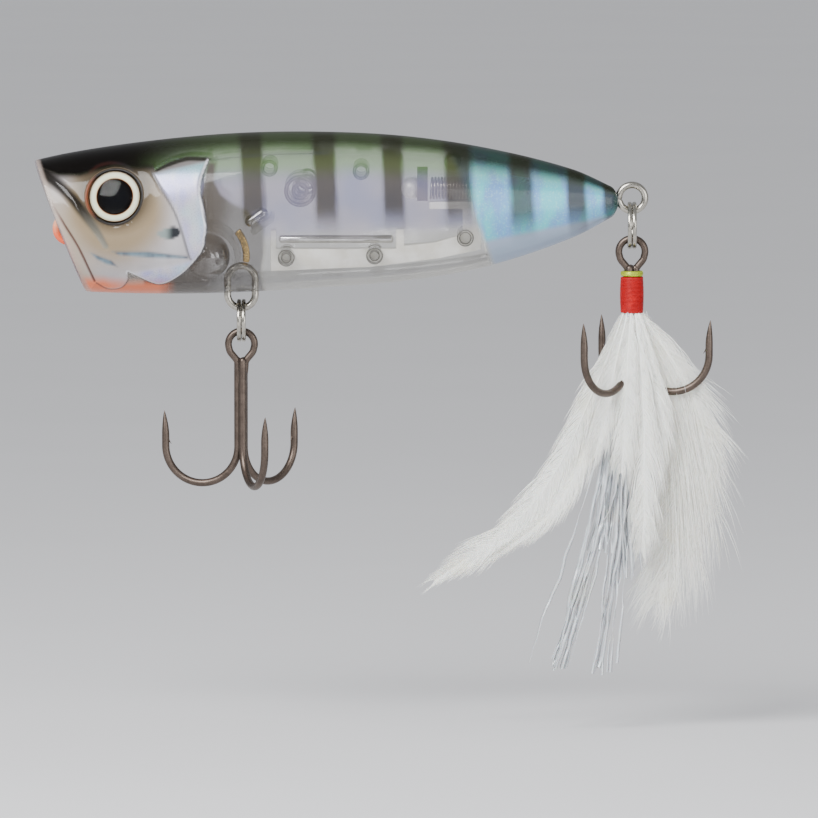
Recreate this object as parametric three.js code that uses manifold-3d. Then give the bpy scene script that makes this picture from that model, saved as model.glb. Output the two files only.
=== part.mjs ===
// Topwater popper: a hollow two-shell lure body with a cupped mouth, inner weights, wire hangers,
// split rings, two treble hooks and a feather dressing. Millimetres, +X to the tail, +Z up.
// The origin is the centre of the line-tie ring in the mouth.
import * as THREE from 'three';
import { mergeVertices } from 'three/addons/utils/BufferGeometryUtils.js';
import Module from 'manifold-3d';

const wasm = await Module();
wasm.setup();

// ---------------------------------------------------------------- driving dimensions
const GAP = 0.3; // clearance between neighbouring pieces
const WALL = 1.3; // shell wall
const SEAM = 0.15; // each shell stops this far from the middle plane

// Body stations along X: [x, top z, bottom z, half width]
const STATIONS = [
  [-8, 7.2, -7.0, 5.7],
  [0, 9.05, -7.45, 6.9],
  [10, 10.52, -7.75, 7.9],
  [20, 11.4, -7.6, 8.3],
  [30, 11.56, -7.0, 8.0],
  [40, 11.05, -6.22, 7.1],
  [50, 9.58, -4.45, 5.5],
  [60, 7.08, -1.1, 3.2],
  [65.5, 4.6, 1.8, 1.45],
];
const BODY_FRONT = -6;
const BODY_REAR = 65.5;
const CAVITY_REAR = 61.5;
const SECTION_POWER = 2.25; // superellipse exponent of the body section

const LIP_TOP = [-4.2, 8.1]; // x, z of the upper lip
const LIP_BOTTOM = [1.9, -7.3]; // x, z of the lower lip
const CUP_DEPTH = 4.9;
const CUP_HALF = [7.15, 6.15]; // half height along the mouth plane, half width

const EYE = { x: 5.5, z: 4.3, radius: 3.05, depth: 1.0, dome: 1.5, iris: 0.35 };
const WIRE = 0.43; // radius of the hanger wire
const LINE_TIE = { x: 0, z: 0, ring: 1.6, anchor: [10.4, 0], loop: 1.15 };
const HANGER = { x: 20.5, z: -7.85, ring: 1.65, rise: 1.75 };
const TAIL_EYE = { x: 67.1, z: 3.65, ring: 1.55, anchor: [58.3, 3.1], loop: 1.0 };

const SPLIT_RING = { thick: 0.45, wide: 0.5, step: 0.56, turns: 1.8, cross: 0.055 };
const BELLY_RING_INNER = 2.12; // inner radius
const TAIL_RING_INNER = 2.4;
const SLACK = 0.08; // play where a ring hangs on a wire
const HOOK = { wire: 0.42, shank: 0.45, reach: 9.3, eye: 1.56, length: 19.1, rise: 9.0, neck: 2.3 };
const BELLY_HOOK_ANGLES = [168, 48, -72];
const TAIL_HOOK_ANGLES = [-8.4, -128.4, 111.6];

const BALL = { x: 16.4, z: -3.3, radius: 2.75 };
const SLUG = { x: 22.3, z: 1.35, radius: 0.7, length: 1.7, tilt: 35 };
const PAST_SIDES = 12; // further out than the body's sides
const INTO_WALL = WALL - 0.5; // ribs and posts run this close to the skin, so that they merge with the wall
const PARTITION = { inner: 0.65, outer: 1.25, from: -38, to: 84 }; // wall behind the ball: distances, degrees
const CRADLE = { length: 3.0, depth: 1.5, shift: 0.2 }; // rib under the slug
const CHAMBER = { front: [12.3, 12.9], rear: [16.5, 17.2], roof: [0.1, 0.7] }; // walls of the throat chamber
const SEAT_STOP = { length: 0.95, z: [3.2, 7.6], halfGap: 1.65 }; // ribs that the spring seat rests on
const SEAT_CUT = { half: 1.9, low: 3.4 }; // flat sides and foot of the spring seat
const SPRING_BAY = { rear: 49.4, half: 3.2, z: [1.9, 8.2] }; // clear room round the seat and the spring
const FRAME_BAY = [23.5, 49.45]; // clear room along X round the inner frame
const HANGER_POST = { radius: 0.8, below: 0.2 }; // post through the hanger's upper bow
const BOSS = { x: 27.56, z: 4.84, outer: 1.9, hole: 1.15, pin: 0.85 };
const POST_RADIUS = 1.0;
const UPPER_POSTS = [[23.9, 7.5], [34.8, 7.1]]; // full-width mating posts between the shells
const FRAME_PEGS = [[25.9, -3.2], [36.4, -3.0]]; // short pegs that clamp the inner frame
const FRAME_HALF = 1.5;
const ROD = { x0: 24.95, x1: 38.65, z: -1.25, radius: 0.48 };
const REAR_BALL = { x: 40.85, z: 4.84, radius: 1.3 };
const SEAT = { x0: 41.45, x1: 42.75, half: 2.55 };
const SPRING = { x0: 42.95, x1: 47.75, radius: 1.22, wire: 0.14, turns: 12 };
const BULKHEAD = [49.7, 50.4];

// ---------------------------------------------------------------- solids
const solid = (geometry) => {
  const g = geometry.clone();
  g.deleteAttribute('normal');
  g.deleteAttribute('uv');
  const merged = mergeVertices(g, 1e-4);
  const points = Float32Array.from(merged.attributes.position.array);
  const index = Uint32Array.from(merged.index.array);
  let volume = 0;
  const a = new THREE.Vector3();
  const b = new THREE.Vector3();
  const c = new THREE.Vector3();
  for (let i = 0; i < index.length; i += 3) {
    a.fromArray(points, index[i] * 3);
    b.fromArray(points, index[i + 1] * 3);
    c.fromArray(points, index[i + 2] * 3);
    volume += a.dot(b.cross(c));
  }
  if (volume < 0) {
    for (let i = 0; i < index.length; i += 3) {
      [index[i], index[i + 1]] = [index[i + 1], index[i]];
    }
  }
  const full = [];
  for (let i = 0; i < index.length; i += 3) {
    const [p, q, r] = [index[i], index[i + 1], index[i + 2]];
    if (p !== q && q !== r && r !== p) full.push(p, q, r);
  }
  const mesh = new wasm.Mesh({ numProp: 3, vertProperties: points, triVerts: Uint32Array.from(full) });
  return new wasm.Manifold(mesh);
};

const geometryOf = (manifold) => {
  const mesh = manifold.getMesh();
  const g = new THREE.BufferGeometry();
  g.setAttribute('position', new THREE.BufferAttribute(Float32Array.from(mesh.vertProperties), 3));
  g.setIndex(Array.from(mesh.triVerts));
  g.computeVertexNormals();
  return g;
};

const joined = (first, ...rest) => rest.reduce((sum, item) => sum.add(item), first);

// A cylinder of `sides` by `steps` whose points go where place(u, c, s) says:
// u runs 0..1 along it, and c, s are the cosine and sine round it, both 0 at a cap's centre.
const swept = (sides, steps, place) => {
  const g = new THREE.CylinderGeometry(1, 1, 1, sides, steps);
  const p = g.attributes.position;
  const v = new THREE.Vector3();
  for (let i = 0; i < p.count; i += 1) {
    v.fromBufferAttribute(p, i);
    const to = place(v.y + 0.5, v.x, v.z);
    p.setXYZ(i, to[0], to[1], to[2]);
  }
  return solid(g);
};

// A wire in the XZ plane along at(u) = [x, z], with radius(u)
const wireAlong = (at, radius, sides = 6, steps = 20) => swept(sides, steps, (u, c, s) => {
  const step = 1e-3;
  const [x, z] = at(u);
  const [x0, z0] = at(Math.max(0, u - step));
  const [x1, z1] = at(Math.min(1, u + step));
  const size = Math.hypot(x1 - x0, z1 - z0);
  const r = radius(u);
  return [x - ((z1 - z0) / size) * r * c, r * s, z + ((x1 - x0) / size) * r * c];
});

const ringXZ = (x, z, mean, wire, around = 18, sides = 6) => {
  const section = [];
  for (let i = 0; i <= sides; i += 1) {
    const t = (i / sides) * Math.PI * 2;
    section.push(new THREE.Vector2(mean + wire * Math.cos(t), wire * Math.sin(t)));
  }
  const g = new THREE.LatheGeometry(section, around);
  g.translate(x, 0, z);
  return solid(g);
};

const rodBetween = (from, to, radius, sides = 10) => {
  const a = new THREE.Vector3(...from);
  const b = new THREE.Vector3(...to);
  const g = new THREE.CylinderGeometry(radius, radius, a.distanceTo(b), sides);
  g.applyQuaternion(new THREE.Quaternion().setFromUnitVectors(
    new THREE.Vector3(0, 1, 0),
    b.clone().sub(a).normalize(),
  ));
  g.translate(...a.add(b).multiplyScalar(0.5).toArray());
  return solid(g);
};

const boxOf = (x0, x1, y0, y1, z0, z1) => {
  const g = new THREE.BoxGeometry(x1 - x0, y1 - y0, z1 - z0);
  g.translate((x0 + x1) / 2, (y0 + y1) / 2, (z0 + z1) / 2);
  return solid(g);
};

// An outline of [x, z] points, from y0 to y1
const plateXZ = (points, y0, y1) => {
  const shape = new THREE.Shape(points.map(([x, z]) => new THREE.Vector2(x, z)));
  const g = new THREE.ExtrudeGeometry(shape, { depth: y1 - y0, bevelEnabled: false });
  g.rotateX(Math.PI / 2);
  g.translate(0, y1, 0);
  return solid(g);
};

const arcPoints = (x, z, radius, from, to, count) => Array.from({ length: count + 1 }, (_, i) => {
  const t = THREE.MathUtils.degToRad(from + ((to - from) * i) / count);
  return [x + radius * Math.cos(t), z + radius * Math.sin(t)];
});

// ---------------------------------------------------------------- body form
// Smooth value of one station column at x
const stationValue = (x, column) => {
  let i = STATIONS.findIndex((s) => s[0] > x) - 1;
  if (i < 0) i = STATIONS.length - 2;
  const [p, q] = [STATIONS[i], STATIONS[i + 1]];
  const before = STATIONS[Math.max(0, i - 1)];
  const after = STATIONS[Math.min(STATIONS.length - 1, i + 2)];
  const span = q[0] - p[0];
  const slopeIn = ((q[column] - before[column]) / (q[0] - before[0])) * span;
  const slopeOut = ((after[column] - p[column]) / (after[0] - p[0])) * span;
  const t = (x - p[0]) / span;
  const t2 = t * t;
  const t3 = t2 * t;
  return p[column] * (2 * t3 - 3 * t2 + 1) + slopeIn * (t3 - 2 * t2 + t)
    + q[column] * (3 * t2 - 2 * t3) + slopeOut * (t3 - t2);
};

const sectionAt = (x, inset) => {
  const top = stationValue(x, 1);
  const bottom = stationValue(x, 2);
  return {
    middle: (top + bottom) / 2,
    high: (top - bottom) / 2 - inset,
    wide: stationValue(x, 3) - inset,
  };
};

const bodyForm = (inset, x0, x1, sides = 28, steps = 15) => swept(sides, steps, (u, c, s) => {
  const x = x0 + (x1 - x0) * u;
  const { middle, high, wide } = sectionAt(x, inset);
  const power = 2 / SECTION_POWER;
  return [
    x,
    Math.sign(c) * Math.abs(c) ** power * wide,
    middle + Math.sign(s) * Math.abs(s) ** power * high,
  ];
});

// The mouth plane, from the upper to the lower lip
const mouthTurn = Math.atan2(LIP_BOTTOM[0] - LIP_TOP[0], LIP_TOP[1] - LIP_BOTTOM[1]);
const mouthCentre = [(LIP_TOP[0] + LIP_BOTTOM[0]) / 2, (LIP_TOP[1] + LIP_BOTTOM[1]) / 2];

// A rounded bowl hollowed from the mouth plane; grow > 0 gives the bowl's own wall
const cupForm = (grow) => {
  const g = new THREE.SphereGeometry(1, 22, 14);
  const p = g.attributes.position;
  const bowl = 1.25; // fullness of the bowl: 1 is an ellipsoid
  for (let i = 0; i < p.count; i += 1) {
    const n = Math.hypot(p.getX(i), p.getY(i), p.getZ(i));
    const [x, y, z] = [p.getX(i) / n, p.getY(i) / n, p.getZ(i) / n];
    const across = Math.hypot(y, z);
    const full = across > 1e-6 ? across ** (1 / bowl) / across : 1;
    p.setXYZ(
      i,
      x * (CUP_DEPTH + grow),
      y * full * (CUP_HALF[1] + grow),
      z * full * (CUP_HALF[0] + grow),
    );
  }
  g.rotateY(-mouthTurn);
  g.translate(mouthCentre[0], 0, mouthCentre[1]);
  return solid(g);
};

const mouthCut = () => {
  const size = 40;
  const g = new THREE.BoxGeometry(size, size, size);
  g.translate(-size / 2, 0, 0);
  g.rotateY(-mouthTurn);
  g.translate(mouthCentre[0], 0, mouthCentre[1]);
  return solid(g);
};

// ---------------------------------------------------------------- wire forms
const lineTie = (grow) => {
  const [ax, az] = LINE_TIE.anchor;
  const start = LINE_TIE.x + LINE_TIE.ring;
  return joined(
    ringXZ(LINE_TIE.x, LINE_TIE.z, LINE_TIE.ring, WIRE + grow),
    rodBetween([start, 0, LINE_TIE.z], [ax - LINE_TIE.loop, 0, az], WIRE + grow, 6),
    ringXZ(ax, az, LINE_TIE.loop, WIRE + grow, 12),
  );
};

const tailEye = (grow) => {
  const [ax, az] = TAIL_EYE.anchor;
  return joined(
    ringXZ(TAIL_EYE.x, TAIL_EYE.z, TAIL_EYE.ring, WIRE - 0.02 + grow),
    rodBetween(
      [TAIL_EYE.x - TAIL_EYE.ring, 0, TAIL_EYE.z],
      [ax + TAIL_EYE.loop, 0, az],
      WIRE - 0.02 + grow,
      6,
    ),
    ringXZ(ax, az, TAIL_EYE.loop, WIRE - 0.02 + grow, 12),
  );
};

// A closed link: its lower bow shows under the belly, its upper bow is anchored in the shells
const bellyHanger = (grow) => {
  const { x, z, ring, rise } = HANGER;
  const bow = (high) => ringXZ(x, high, ring, WIRE + grow)
    .intersect(boxOf(
      x - 4,
      x + 4,
      -2,
      2,
      high === z ? z - 4 : high,
      high === z ? z : high + 4,
    ));
  return joined(
    bow(z),
    bow(z + rise),
    rodBetween([x - ring, 0, z - 0.01], [x - ring, 0, z + rise + 0.01], WIRE + grow, 6),
    rodBetween([x + ring, 0, z - 0.01], [x + ring, 0, z + rise + 0.01], WIRE + grow, 6),
  );
};

// Two turns of flat wire lying side by side, in the YZ plane
const splitRing = (x, z, inner) => swept(6, 34, (u, c, s) => {
  const { thick, wide, step, turns, cross } = SPLIT_RING;
  const angle = (u * turns + 0.35) * Math.PI * 2;
  const radius = inner + thick / 2 + (thick / 2) * s;
  const along = (step / 2) * THREE.MathUtils.clamp((u - 0.5) / cross, -1, 1);
  return [x + along + (wide / 2) * c, radius * Math.sin(angle), z + radius * Math.cos(angle)];
});

// How far below a round hole's centre the inside of a split ring can sit on the hole's edge
const seatDepth = (hole) => {
  const half = (SPLIT_RING.wide + SPLIT_RING.step) / 2;
  return Math.sqrt(hole * hole - half * half) - SLACK;
};

// A treble: the eye's wire, then three bends at the given angles round the shank
const treble = (x, topZ, angles) => {
  const { wire, shank, reach, eye, length, rise, neck } = HOOK;
  const eyeZ = topZ - wire - eye;
  const bottomZ = topZ - length + wire;
  const bend = (reach - shank) / 2;
  const bendZ = bottomZ + bend;
  const startZ = eyeZ - neck + 0.3;
  const arc = Math.PI * bend;
  const down = startZ - bendZ;
  const up = rise - bend - wire;
  const total = down + arc + up;
  const eyeWire = wireAlong((u) => {
    const t = (u - 0.5) * 2;
    const turn = 0.56; // share of the wire that goes round the eye
    const wrap = Math.PI * 0.62;
    if (Math.abs(t) <= turn) {
      const a = (t / turn) * wrap;
      return [x + eye * Math.sin(a), eyeZ + eye * Math.cos(a)];
    }
    const f = (Math.abs(t) - turn) / (1 - turn);
    const side = Math.sign(t);
    const from = [eye * Math.sin(wrap), eye * Math.cos(wrap)];
    const ease = f * f * (3 - 2 * f);
    return [
      x + side * (from[0] + (shank - from[0]) * ease),
      eyeZ + from[1] + (-neck - from[1]) * f,
    ];
  }, () => wire, 6, 24);
  const hooks = angles.map((angle) => {
    const g = wireAlong((u) => {
      const d = u * total;
      if (d < down) return [shank, startZ - d];
      if (d < down + arc) {
        const a = (d - down) / bend;
        return [shank + bend - bend * Math.cos(a), bendZ - bend * Math.sin(a)];
      }
      return [reach, bendZ + (d - down - arc)];
    }, (u) => Math.min(wire, Math.max(0.06, (1 - u) * total * 0.2)), 6, 24);
    const barb = rodBetween(
      [reach - wire * 0.2, 0, bendZ + up - 3.0],
      [reach - wire - 0.4, 0, bendZ + up - 3.9],
      0.17,
      5,
    );
    const turned = g.add(barb).rotate([0, 0, angle]);
    return turned.translate([x, 0, 0]);
  });
  return joined(eyeWire, ...hooks);
};

// ---------------------------------------------------------------- inner pieces
const eyeAxis = (side) => {
  const { x, z } = EYE;
  const { middle, high, wide } = sectionAt(x, 0);
  const rel = Math.abs(z - middle) / high;
  const y = wide * (1 - rel ** SECTION_POWER) ** (1 / SECTION_POWER);
  const lean = THREE.MathUtils.degToRad(13);
  const yaw = THREE.MathUtils.degToRad(7);
  const out = new THREE.Vector3(-Math.sin(yaw), side * Math.cos(lean), Math.sin(lean)).normalize();
  return { at: new THREE.Vector3(x, side * y, z), out };
};

// A turned profile of [radius, height] points about the eye's axis
const eyeTurned = (side, profile, around = 18) => {
  const { at, out } = eyeAxis(side);
  const g = new THREE.LatheGeometry(profile.map(([r, h]) => new THREE.Vector2(r, h)), around);
  g.applyQuaternion(new THREE.Quaternion().setFromUnitVectors(new THREE.Vector3(0, 1, 0), out));
  g.translate(at.x, at.y, at.z);
  return solid(g);
};

const drum = (radius, low, high) => [[0, low], [radius, low], [radius, high], [0, high]];

const domeProfile = (radius, low, high) => {
  const profile = [[0, low], [radius, low]];
  const steps = 4;
  for (let i = 1; i <= steps; i += 1) {
    const t = (i / steps) * (Math.PI / 2);
    profile.push([i === steps ? 0 : radius * Math.cos(t), low + 0.1 + (high - low - 0.1) * Math.sin(t)]);
  }
  return profile;
};

const slugSolid = (grow) => {
  const g = new THREE.CapsuleGeometry(SLUG.radius + grow, SLUG.length, 4, 10);
  g.rotateZ(Math.PI / 2);
  g.rotateY(-THREE.MathUtils.degToRad(SLUG.tilt));
  g.translate(SLUG.x, 0, SLUG.z);
  return solid(g);
};

const FRAME_OUTLINE = [
  [24, -5], [36, -4.5], [44, -3.5], [49.1, -2.4], // floor
  [49.1, 7.6], [48.1, 7.6], [48.1, 3.25], // rear upright, then the spring's shelf
  [42.9, 3.25], [42.9, 2.4], [46.9, 2.4], [46.9, -0.7], [43.4, -1.6],
  [39.9, -1.95], [39.9, 0], [38.95, 0], // rod stop
  [38.95, -2.35], [24.65, -2.35], [24.65, -0.1], [24, -0.1],
];

const innerFrame = () => plateXZ(FRAME_OUTLINE, -FRAME_HALF, FRAME_HALF);

const tailPost = (radius) => {
  const [x, z] = TAIL_EYE.anchor;
  return rodBetween([x, -9, z], [x, 9, z], radius, 8);
};

const ribs = () => {
  const full = PAST_SIDES;
  const partition = plateXZ([
    ...arcPoints(BALL.x, BALL.z, BALL.radius + PARTITION.inner, PARTITION.from, PARTITION.to, 9),
    ...arcPoints(BALL.x, BALL.z, BALL.radius + PARTITION.outer, PARTITION.to, PARTITION.from, 9),
  ], -full, full);
  const cradle = (() => {
    const g = new THREE.BoxGeometry(CRADLE.length, full * 2, CRADLE.depth);
    g.translate(CRADLE.shift, 0, -CRADLE.depth / 2);
    g.rotateY(-THREE.MathUtils.degToRad(SLUG.tilt));
    g.translate(SLUG.x, 0, SLUG.z);
    return solid(g);
  })();
  const stopX = [SEAT.x0 - SEAT_STOP.length, SEAT.x0 - GAP];
  const [stopLow, stopHigh] = SEAT_STOP.z;
  const { halfGap } = SEAT_STOP;
  const seatStop = boxOf(...stopX, -full, full, stopLow, stopHigh)
    .subtract(boxOf(stopX[0] - 1, stopX[1] + 1, -halfGap, halfGap, stopLow - 1, stopHigh + 1));
  const { front, rear, roof } = CHAMBER;
  const walls = joined(
    partition,
    cradle,
    boxOf(BULKHEAD[0], BULKHEAD[1], -full, full, -full, full),
    seatStop,
    boxOf(...rear, -full, full, roof[0], full),
    boxOf(...front, -full, full, -full, roof[1]),
    boxOf(front[0], rear[1], -full, full, ...roof),
  );
  const post = ([x, z], radius, sides = 12) => rodBetween([x, -full, z], [x, full, z], radius, sides);
  return joined(
    walls,
    ...UPPER_POSTS.map((at) => post(at, POST_RADIUS)),
    post(LINE_TIE.anchor, 0.42, 8),
    post([HANGER.x, HANGER.z + HANGER.rise + HANGER_POST.below], HANGER_POST.radius, 8),
    tailPost(0.28),
  );
};

const frameSpace = () => boxOf(
  ...FRAME_BAY, -FRAME_HALF - GAP, FRAME_HALF + GAP, -PAST_SIDES, PAST_SIDES,
);

// Both shells as one closed hull, before the split
const hull = () => {
  const outer = bodyForm(0, BODY_FRONT, BODY_REAR);
  const cavity = bodyForm(WALL, BODY_FRONT, CAVITY_REAR, 24, 14).subtract(cupForm(WALL - 0.2));
  const shape = outer.subtract(cavity);
  const inside = bodyForm(INTO_WALL, BODY_FRONT, CAVITY_REAR, 24, 14).subtract(cupForm(0.3));
  const fitted = ribs().intersect(inside);
  const pegs = joined(...FRAME_PEGS.map(([x, z]) => (
    rodBetween([x, -PAST_SIDES, z], [x, PAST_SIDES, z], POST_RADIUS, 12)
  )))
    .intersect(inside)
    .subtract(frameSpace());
  return shape.add(fitted).add(pegs);
};

const eyeSocket = (side) => ({
  back: eyeTurned(side, drum(EYE.radius + 0.9, -EYE.depth - 0.8, -0.5)),
  cut: eyeTurned(side, drum(EYE.radius + 0.15, -EYE.depth, 3)),
});

const shells = () => {
  let whole = hull();
  const outer = bodyForm(0, BODY_FRONT, BODY_REAR);
  [-1, 1].forEach((side) => {
    const { back, cut } = eyeSocket(side);
    whole = whole.add(back.intersect(outer)).subtract(cut);
  });
  whole = whole
    .subtract(mouthCut())
    .subtract(cupForm(0))
    .subtract(lineTie(GAP))
    .subtract(bellyHanger(0.22))
    .subtract(tailEye(0.22))
    .subtract(slugSolid(0.15))
    .subtract(ballSolid(GAP, 0))
    .subtract(boxOf(SEAT.x0 - GAP, SPRING_BAY.rear, -SPRING_BAY.half, SPRING_BAY.half, ...SPRING_BAY.z));
  const far = 20;
  const leftHalf = boxOf(-far, 80, -far, -SEAM, -far, far);
  const rightHalf = boxOf(-far, 80, SEAM, far, -far, far);
  const room = boxOf(BOSS.x - 4, BOSS.x + 4, -far, far, 0, 9).intersect(
    bodyForm(INTO_WALL, BODY_FRONT, CAVITY_REAR, 24, 14),
  );
  const at = (y) => [BOSS.x, y, BOSS.z];
  const socket = rodBetween(at(-PAST_SIDES), at(-SEAM), BOSS.outer, 18)
    .intersect(room)
    .subtract(rodBetween(at(-4.5), at(2), BOSS.hole, 14));
  const pin = joined(
    rodBetween(at(SEAM), at(PAST_SIDES), BOSS.outer - 0.2, 18),
    rodBetween(at(-2.6), at(1), BOSS.pin, 12),
  ).intersect(room);
  return {
    left: whole.intersect(leftHalf).add(socket),
    right: whole.intersect(rightHalf).add(pin),
  };
};

function ballSolid(grow, shift) {
  const g = new THREE.SphereGeometry(BALL.radius + grow, 16, 10);
  g.translate(BALL.x + shift, 0, BALL.z);
  return solid(g);
}

// A thin plate that follows the inside of the shell, cut to an outline
const linedPlate = (side, outline) => {
  const low = WALL + GAP;
  const thick = 0.4;
  const layer = bodyForm(low, BODY_FRONT, CAVITY_REAR, 24, 14)
    .subtract(bodyForm(low + thick, BODY_FRONT - 1, CAVITY_REAR + 1, 24, 14));
  return layer.intersect(plateXZ(outline, side > 0 ? 0.5 : -15, side > 0 ? 15 : -0.5))
    .subtract(eyeTurned(side, drum(EYE.radius + 1.25, -6, 3)))
    .subtract(cupForm(WALL + 0.15))
    .subtract(rodBetween([LINE_TIE.anchor[0], -9, 0], [LINE_TIE.anchor[0], 9, 0], 0.8, 8))
    .subtract(tailPost(0.6));
};

const GILL_OUTLINE = [
  [9.4, 6.6], [11.9, 8.3], [15.9, 8.2], [15.9, 1.1],
  [12.0, 1.1], [12.0, -3.2], [9.6, -4.4], [7.2, -3.6], [8.1, 0],
];
const TAIL_FOIL_OUTLINE = [
  [50.8, 6.6], [55, 5.9], [58.6, 4.8], [58.6, 1.7], [55, 0.1], [50.8, -1.2],
];

const seatSolid = () => {
  const { x0, x1, half } = SEAT;
  const plate = rodBetween([x0, 0, REAR_BALL.z], [x1, 0, REAR_BALL.z], half, 20);
  const ball = new THREE.SphereGeometry(REAR_BALL.radius + 0.2, 14, 10);
  ball.translate(REAR_BALL.x, 0, REAR_BALL.z);
  const clipped = boxOf(x0 - 1, x1 + 1, -SEAT_CUT.half, SEAT_CUT.half, SEAT_CUT.low, PAST_SIDES);
  return plate.intersect(clipped).subtract(solid(ball));
};

const springSolid = () => swept(4, 9 * SPRING.turns, (u, c, s) => {
  const { x0, x1, radius, wire, turns } = SPRING;
  const angle = u * turns * Math.PI * 2;
  const r = radius + wire * s;
  const along = x0 + wire + (x1 - x0 - 2 * wire) * u + wire * c;
  return [along, r * Math.cos(angle), REAR_BALL.z + r * Math.sin(angle)];
});

const sphereAt = (x, z, radius) => {
  const g = new THREE.SphereGeometry(radius, 14, 10);
  g.translate(x, 0, z);
  return solid(g);
};

const keelWeight = () => plateXZ([
  ...arcPoints(BALL.x, BALL.z, BALL.radius + 1.55, -8, 40, 6),
  ...arcPoints(BALL.x, BALL.z, BALL.radius + 2.35, 40, -8, 6),
], -1.3, 1.3);

const rodSolid = () => rodBetween([ROD.x0, 0, ROD.z], [ROD.x1, 0, ROD.z], ROD.radius, 10);

// ---------------------------------------------------------------- hook dressing
const hookHole = HOOK.eye - HOOK.wire;
const bellyRingZ = HANGER.z - seatDepth(HANGER.ring - WIRE) - BELLY_RING_INNER;
const tailRingZ = TAIL_EYE.z - seatDepth(TAIL_EYE.ring - WIRE) - TAIL_RING_INNER;
const ringDiagonal = Math.hypot((SPLIT_RING.wide + SPLIT_RING.step) / 2, SPLIT_RING.thick / 2);
// The hook turns about the middle of the ring's lowest wire, so the eye clears the wire's corners
const hookTop = (ringZ, inner) => {
  const pivot = ringZ - inner - SPLIT_RING.thick / 2;
  return pivot - (hookHole - ringDiagonal - SLACK) + HOOK.eye + HOOK.wire;
};
const bellyHookTop = hookTop(bellyRingZ, BELLY_RING_INNER);
const tailHookTop = hookTop(tailRingZ, TAIL_RING_INNER);
const WRAP = { top: -5.75, bottom: -10.1, inner: 1.1, outer: 1.46 };
const TAG = { top: -5.1, bottom: -5.6, inner: 1.1, outer: 1.35 };

const sleeve = (x, { top, bottom, inner, outer }) => {
  const g = new THREE.LatheGeometry([
    [inner, bottom], [outer, bottom], [outer, top], [inner, top], [inner, bottom],
  ].map(([r, h]) => new THREE.Vector2(r, h)), 18);
  g.rotateX(Math.PI / 2);
  g.translate(x, 0, 0);
  return solid(g);
};

// A tapering blade along a curve of [x, z] points, with the half width at each point
const blade = (spine, halves, y0, y1, steps = 12) => {
  const curve = new THREE.SplineCurve(spine.map(([x, z]) => new THREE.Vector2(x, z)));
  const width = new THREE.SplineCurve(halves.map((h, i) => new THREE.Vector2(i, h)));
  const left = [];
  const right = [];
  for (let i = 0; i <= steps; i += 1) {
    const u = i / steps;
    const p = curve.getPoint(u);
    const t = curve.getTangent(u);
    const h = Math.max(0.12, width.getPoint(u).y);
    left.push([p.x - t.y * h, p.y + t.x * h]);
    right.unshift([p.x + t.y * h, p.y - t.x * h]);
  }
  return plateXZ([...left, ...right], y0, y1);
};

const FEATHERS = {
  left_hackle: {
    spine: [[64.9, -10.8], [63.4, -16], [60.6, -22.5], [57.4, -29], [52.5, -36], [43.5, -42.3]],
    halves: [0.7, 1.6, 1.9, 1.8, 1.4, 0.2],
    y: [0.95, 1.45],
  },
  centre_hackle: {
    spine: [[67.4, -10.6], [67.9, -17], [68.2, -24], [68.3, -30], [68.4, -36]],
    halves: [0.8, 1.3, 1.9, 1.6, 0.3],
    y: [-2.0, -1.5],
  },
  right_hackle: {
    spine: [[68.7, -10.9], [71.6, -15.5], [74.6, -21.5], [74.9, -29], [72.6, -38], [70.4, -47.5]],
    halves: [0.8, 2.6, 4.4, 4.6, 3.4, 1.2],
    y: [0.95, 1.75],
  },
  flash_strands: {
    spine: [[65.0, -10.8], [64.3, -20], [63.2, -32], [61.6, -43], [60.2, -54]],
    halves: [0.5, 0.8, 2.0, 3.0, 4.0],
    y: [-0.15, 0.35],
  },
};

// ---------------------------------------------------------------- assembly
const finishes = {
  clear: { color: 0xb9c2b4, roughness: 0.12, metalness: 0.0 },
  steel: { color: 0xa9a59c, roughness: 0.3, metalness: 1.0 },
  dark: { color: 0x5d554c, roughness: 0.42, metalness: 0.9 },
  white: { color: 0xe8e6da, roughness: 0.4, metalness: 0.0 },
  foil: { color: 0xc9d6e4, roughness: 0.25, metalness: 0.8 },
  brass: { color: 0xc9a86a, roughness: 0.3, metalness: 1.0 },
  iris: { color: 0xd8e0c0, roughness: 0.3, metalness: 0.2 },
  dome: { color: 0x1d2430, roughness: 0.08, metalness: 0.0 },
  orange: { color: 0xf0825a, roughness: 0.35, metalness: 0.3 },
  thread: { color: 0xe0141e, roughness: 0.7, metalness: 0.0 },
  tinsel: { color: 0xc8d23c, roughness: 0.4, metalness: 0.5 },
  feather: { color: 0xebebe4, roughness: 0.85, metalness: 0.0 },
};

const lure = new THREE.Group();

const addPiece = (name, finish, manifold) => {
  const mesh = new THREE.Mesh(geometryOf(manifold), new THREE.MeshStandardMaterial(finishes[finish]));
  mesh.name = name;
  lure.add(mesh);
};

const { left, right } = shells();
addPiece('left_shell', 'clear', left);
addPiece('right_shell', 'clear', right);
[['left', -1], ['right', 1]].forEach(([name, side]) => {
  const floor = -EYE.depth + 0.1;
  addPiece(`${name}_iris`, 'iris', eyeTurned(side, drum(EYE.radius, floor, floor + EYE.iris)));
  addPiece(
    `${name}_eye_dome`,
    'dome',
    eyeTurned(side, domeProfile(EYE.radius, floor + EYE.iris + 0.1, floor + EYE.iris + EYE.dome)),
  );
  addPiece(`${name}_gill_plate`, 'foil', linedPlate(side, GILL_OUTLINE));
  addPiece(`${name}_tail_foil`, 'foil', linedPlate(side, TAIL_FOIL_OUTLINE));
});
addPiece('line_tie', 'orange', lineTie(0));
addPiece('belly_hanger', 'steel', bellyHanger(0));
addPiece('tail_eye', 'steel', tailEye(0));
addPiece('inner_frame', 'white', innerFrame());
addPiece('balance_rod', 'steel', rodSolid());
addPiece('front_weight', 'steel', ballSolid(0, 0));
addPiece('keel_weight', 'brass', keelWeight());
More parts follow.
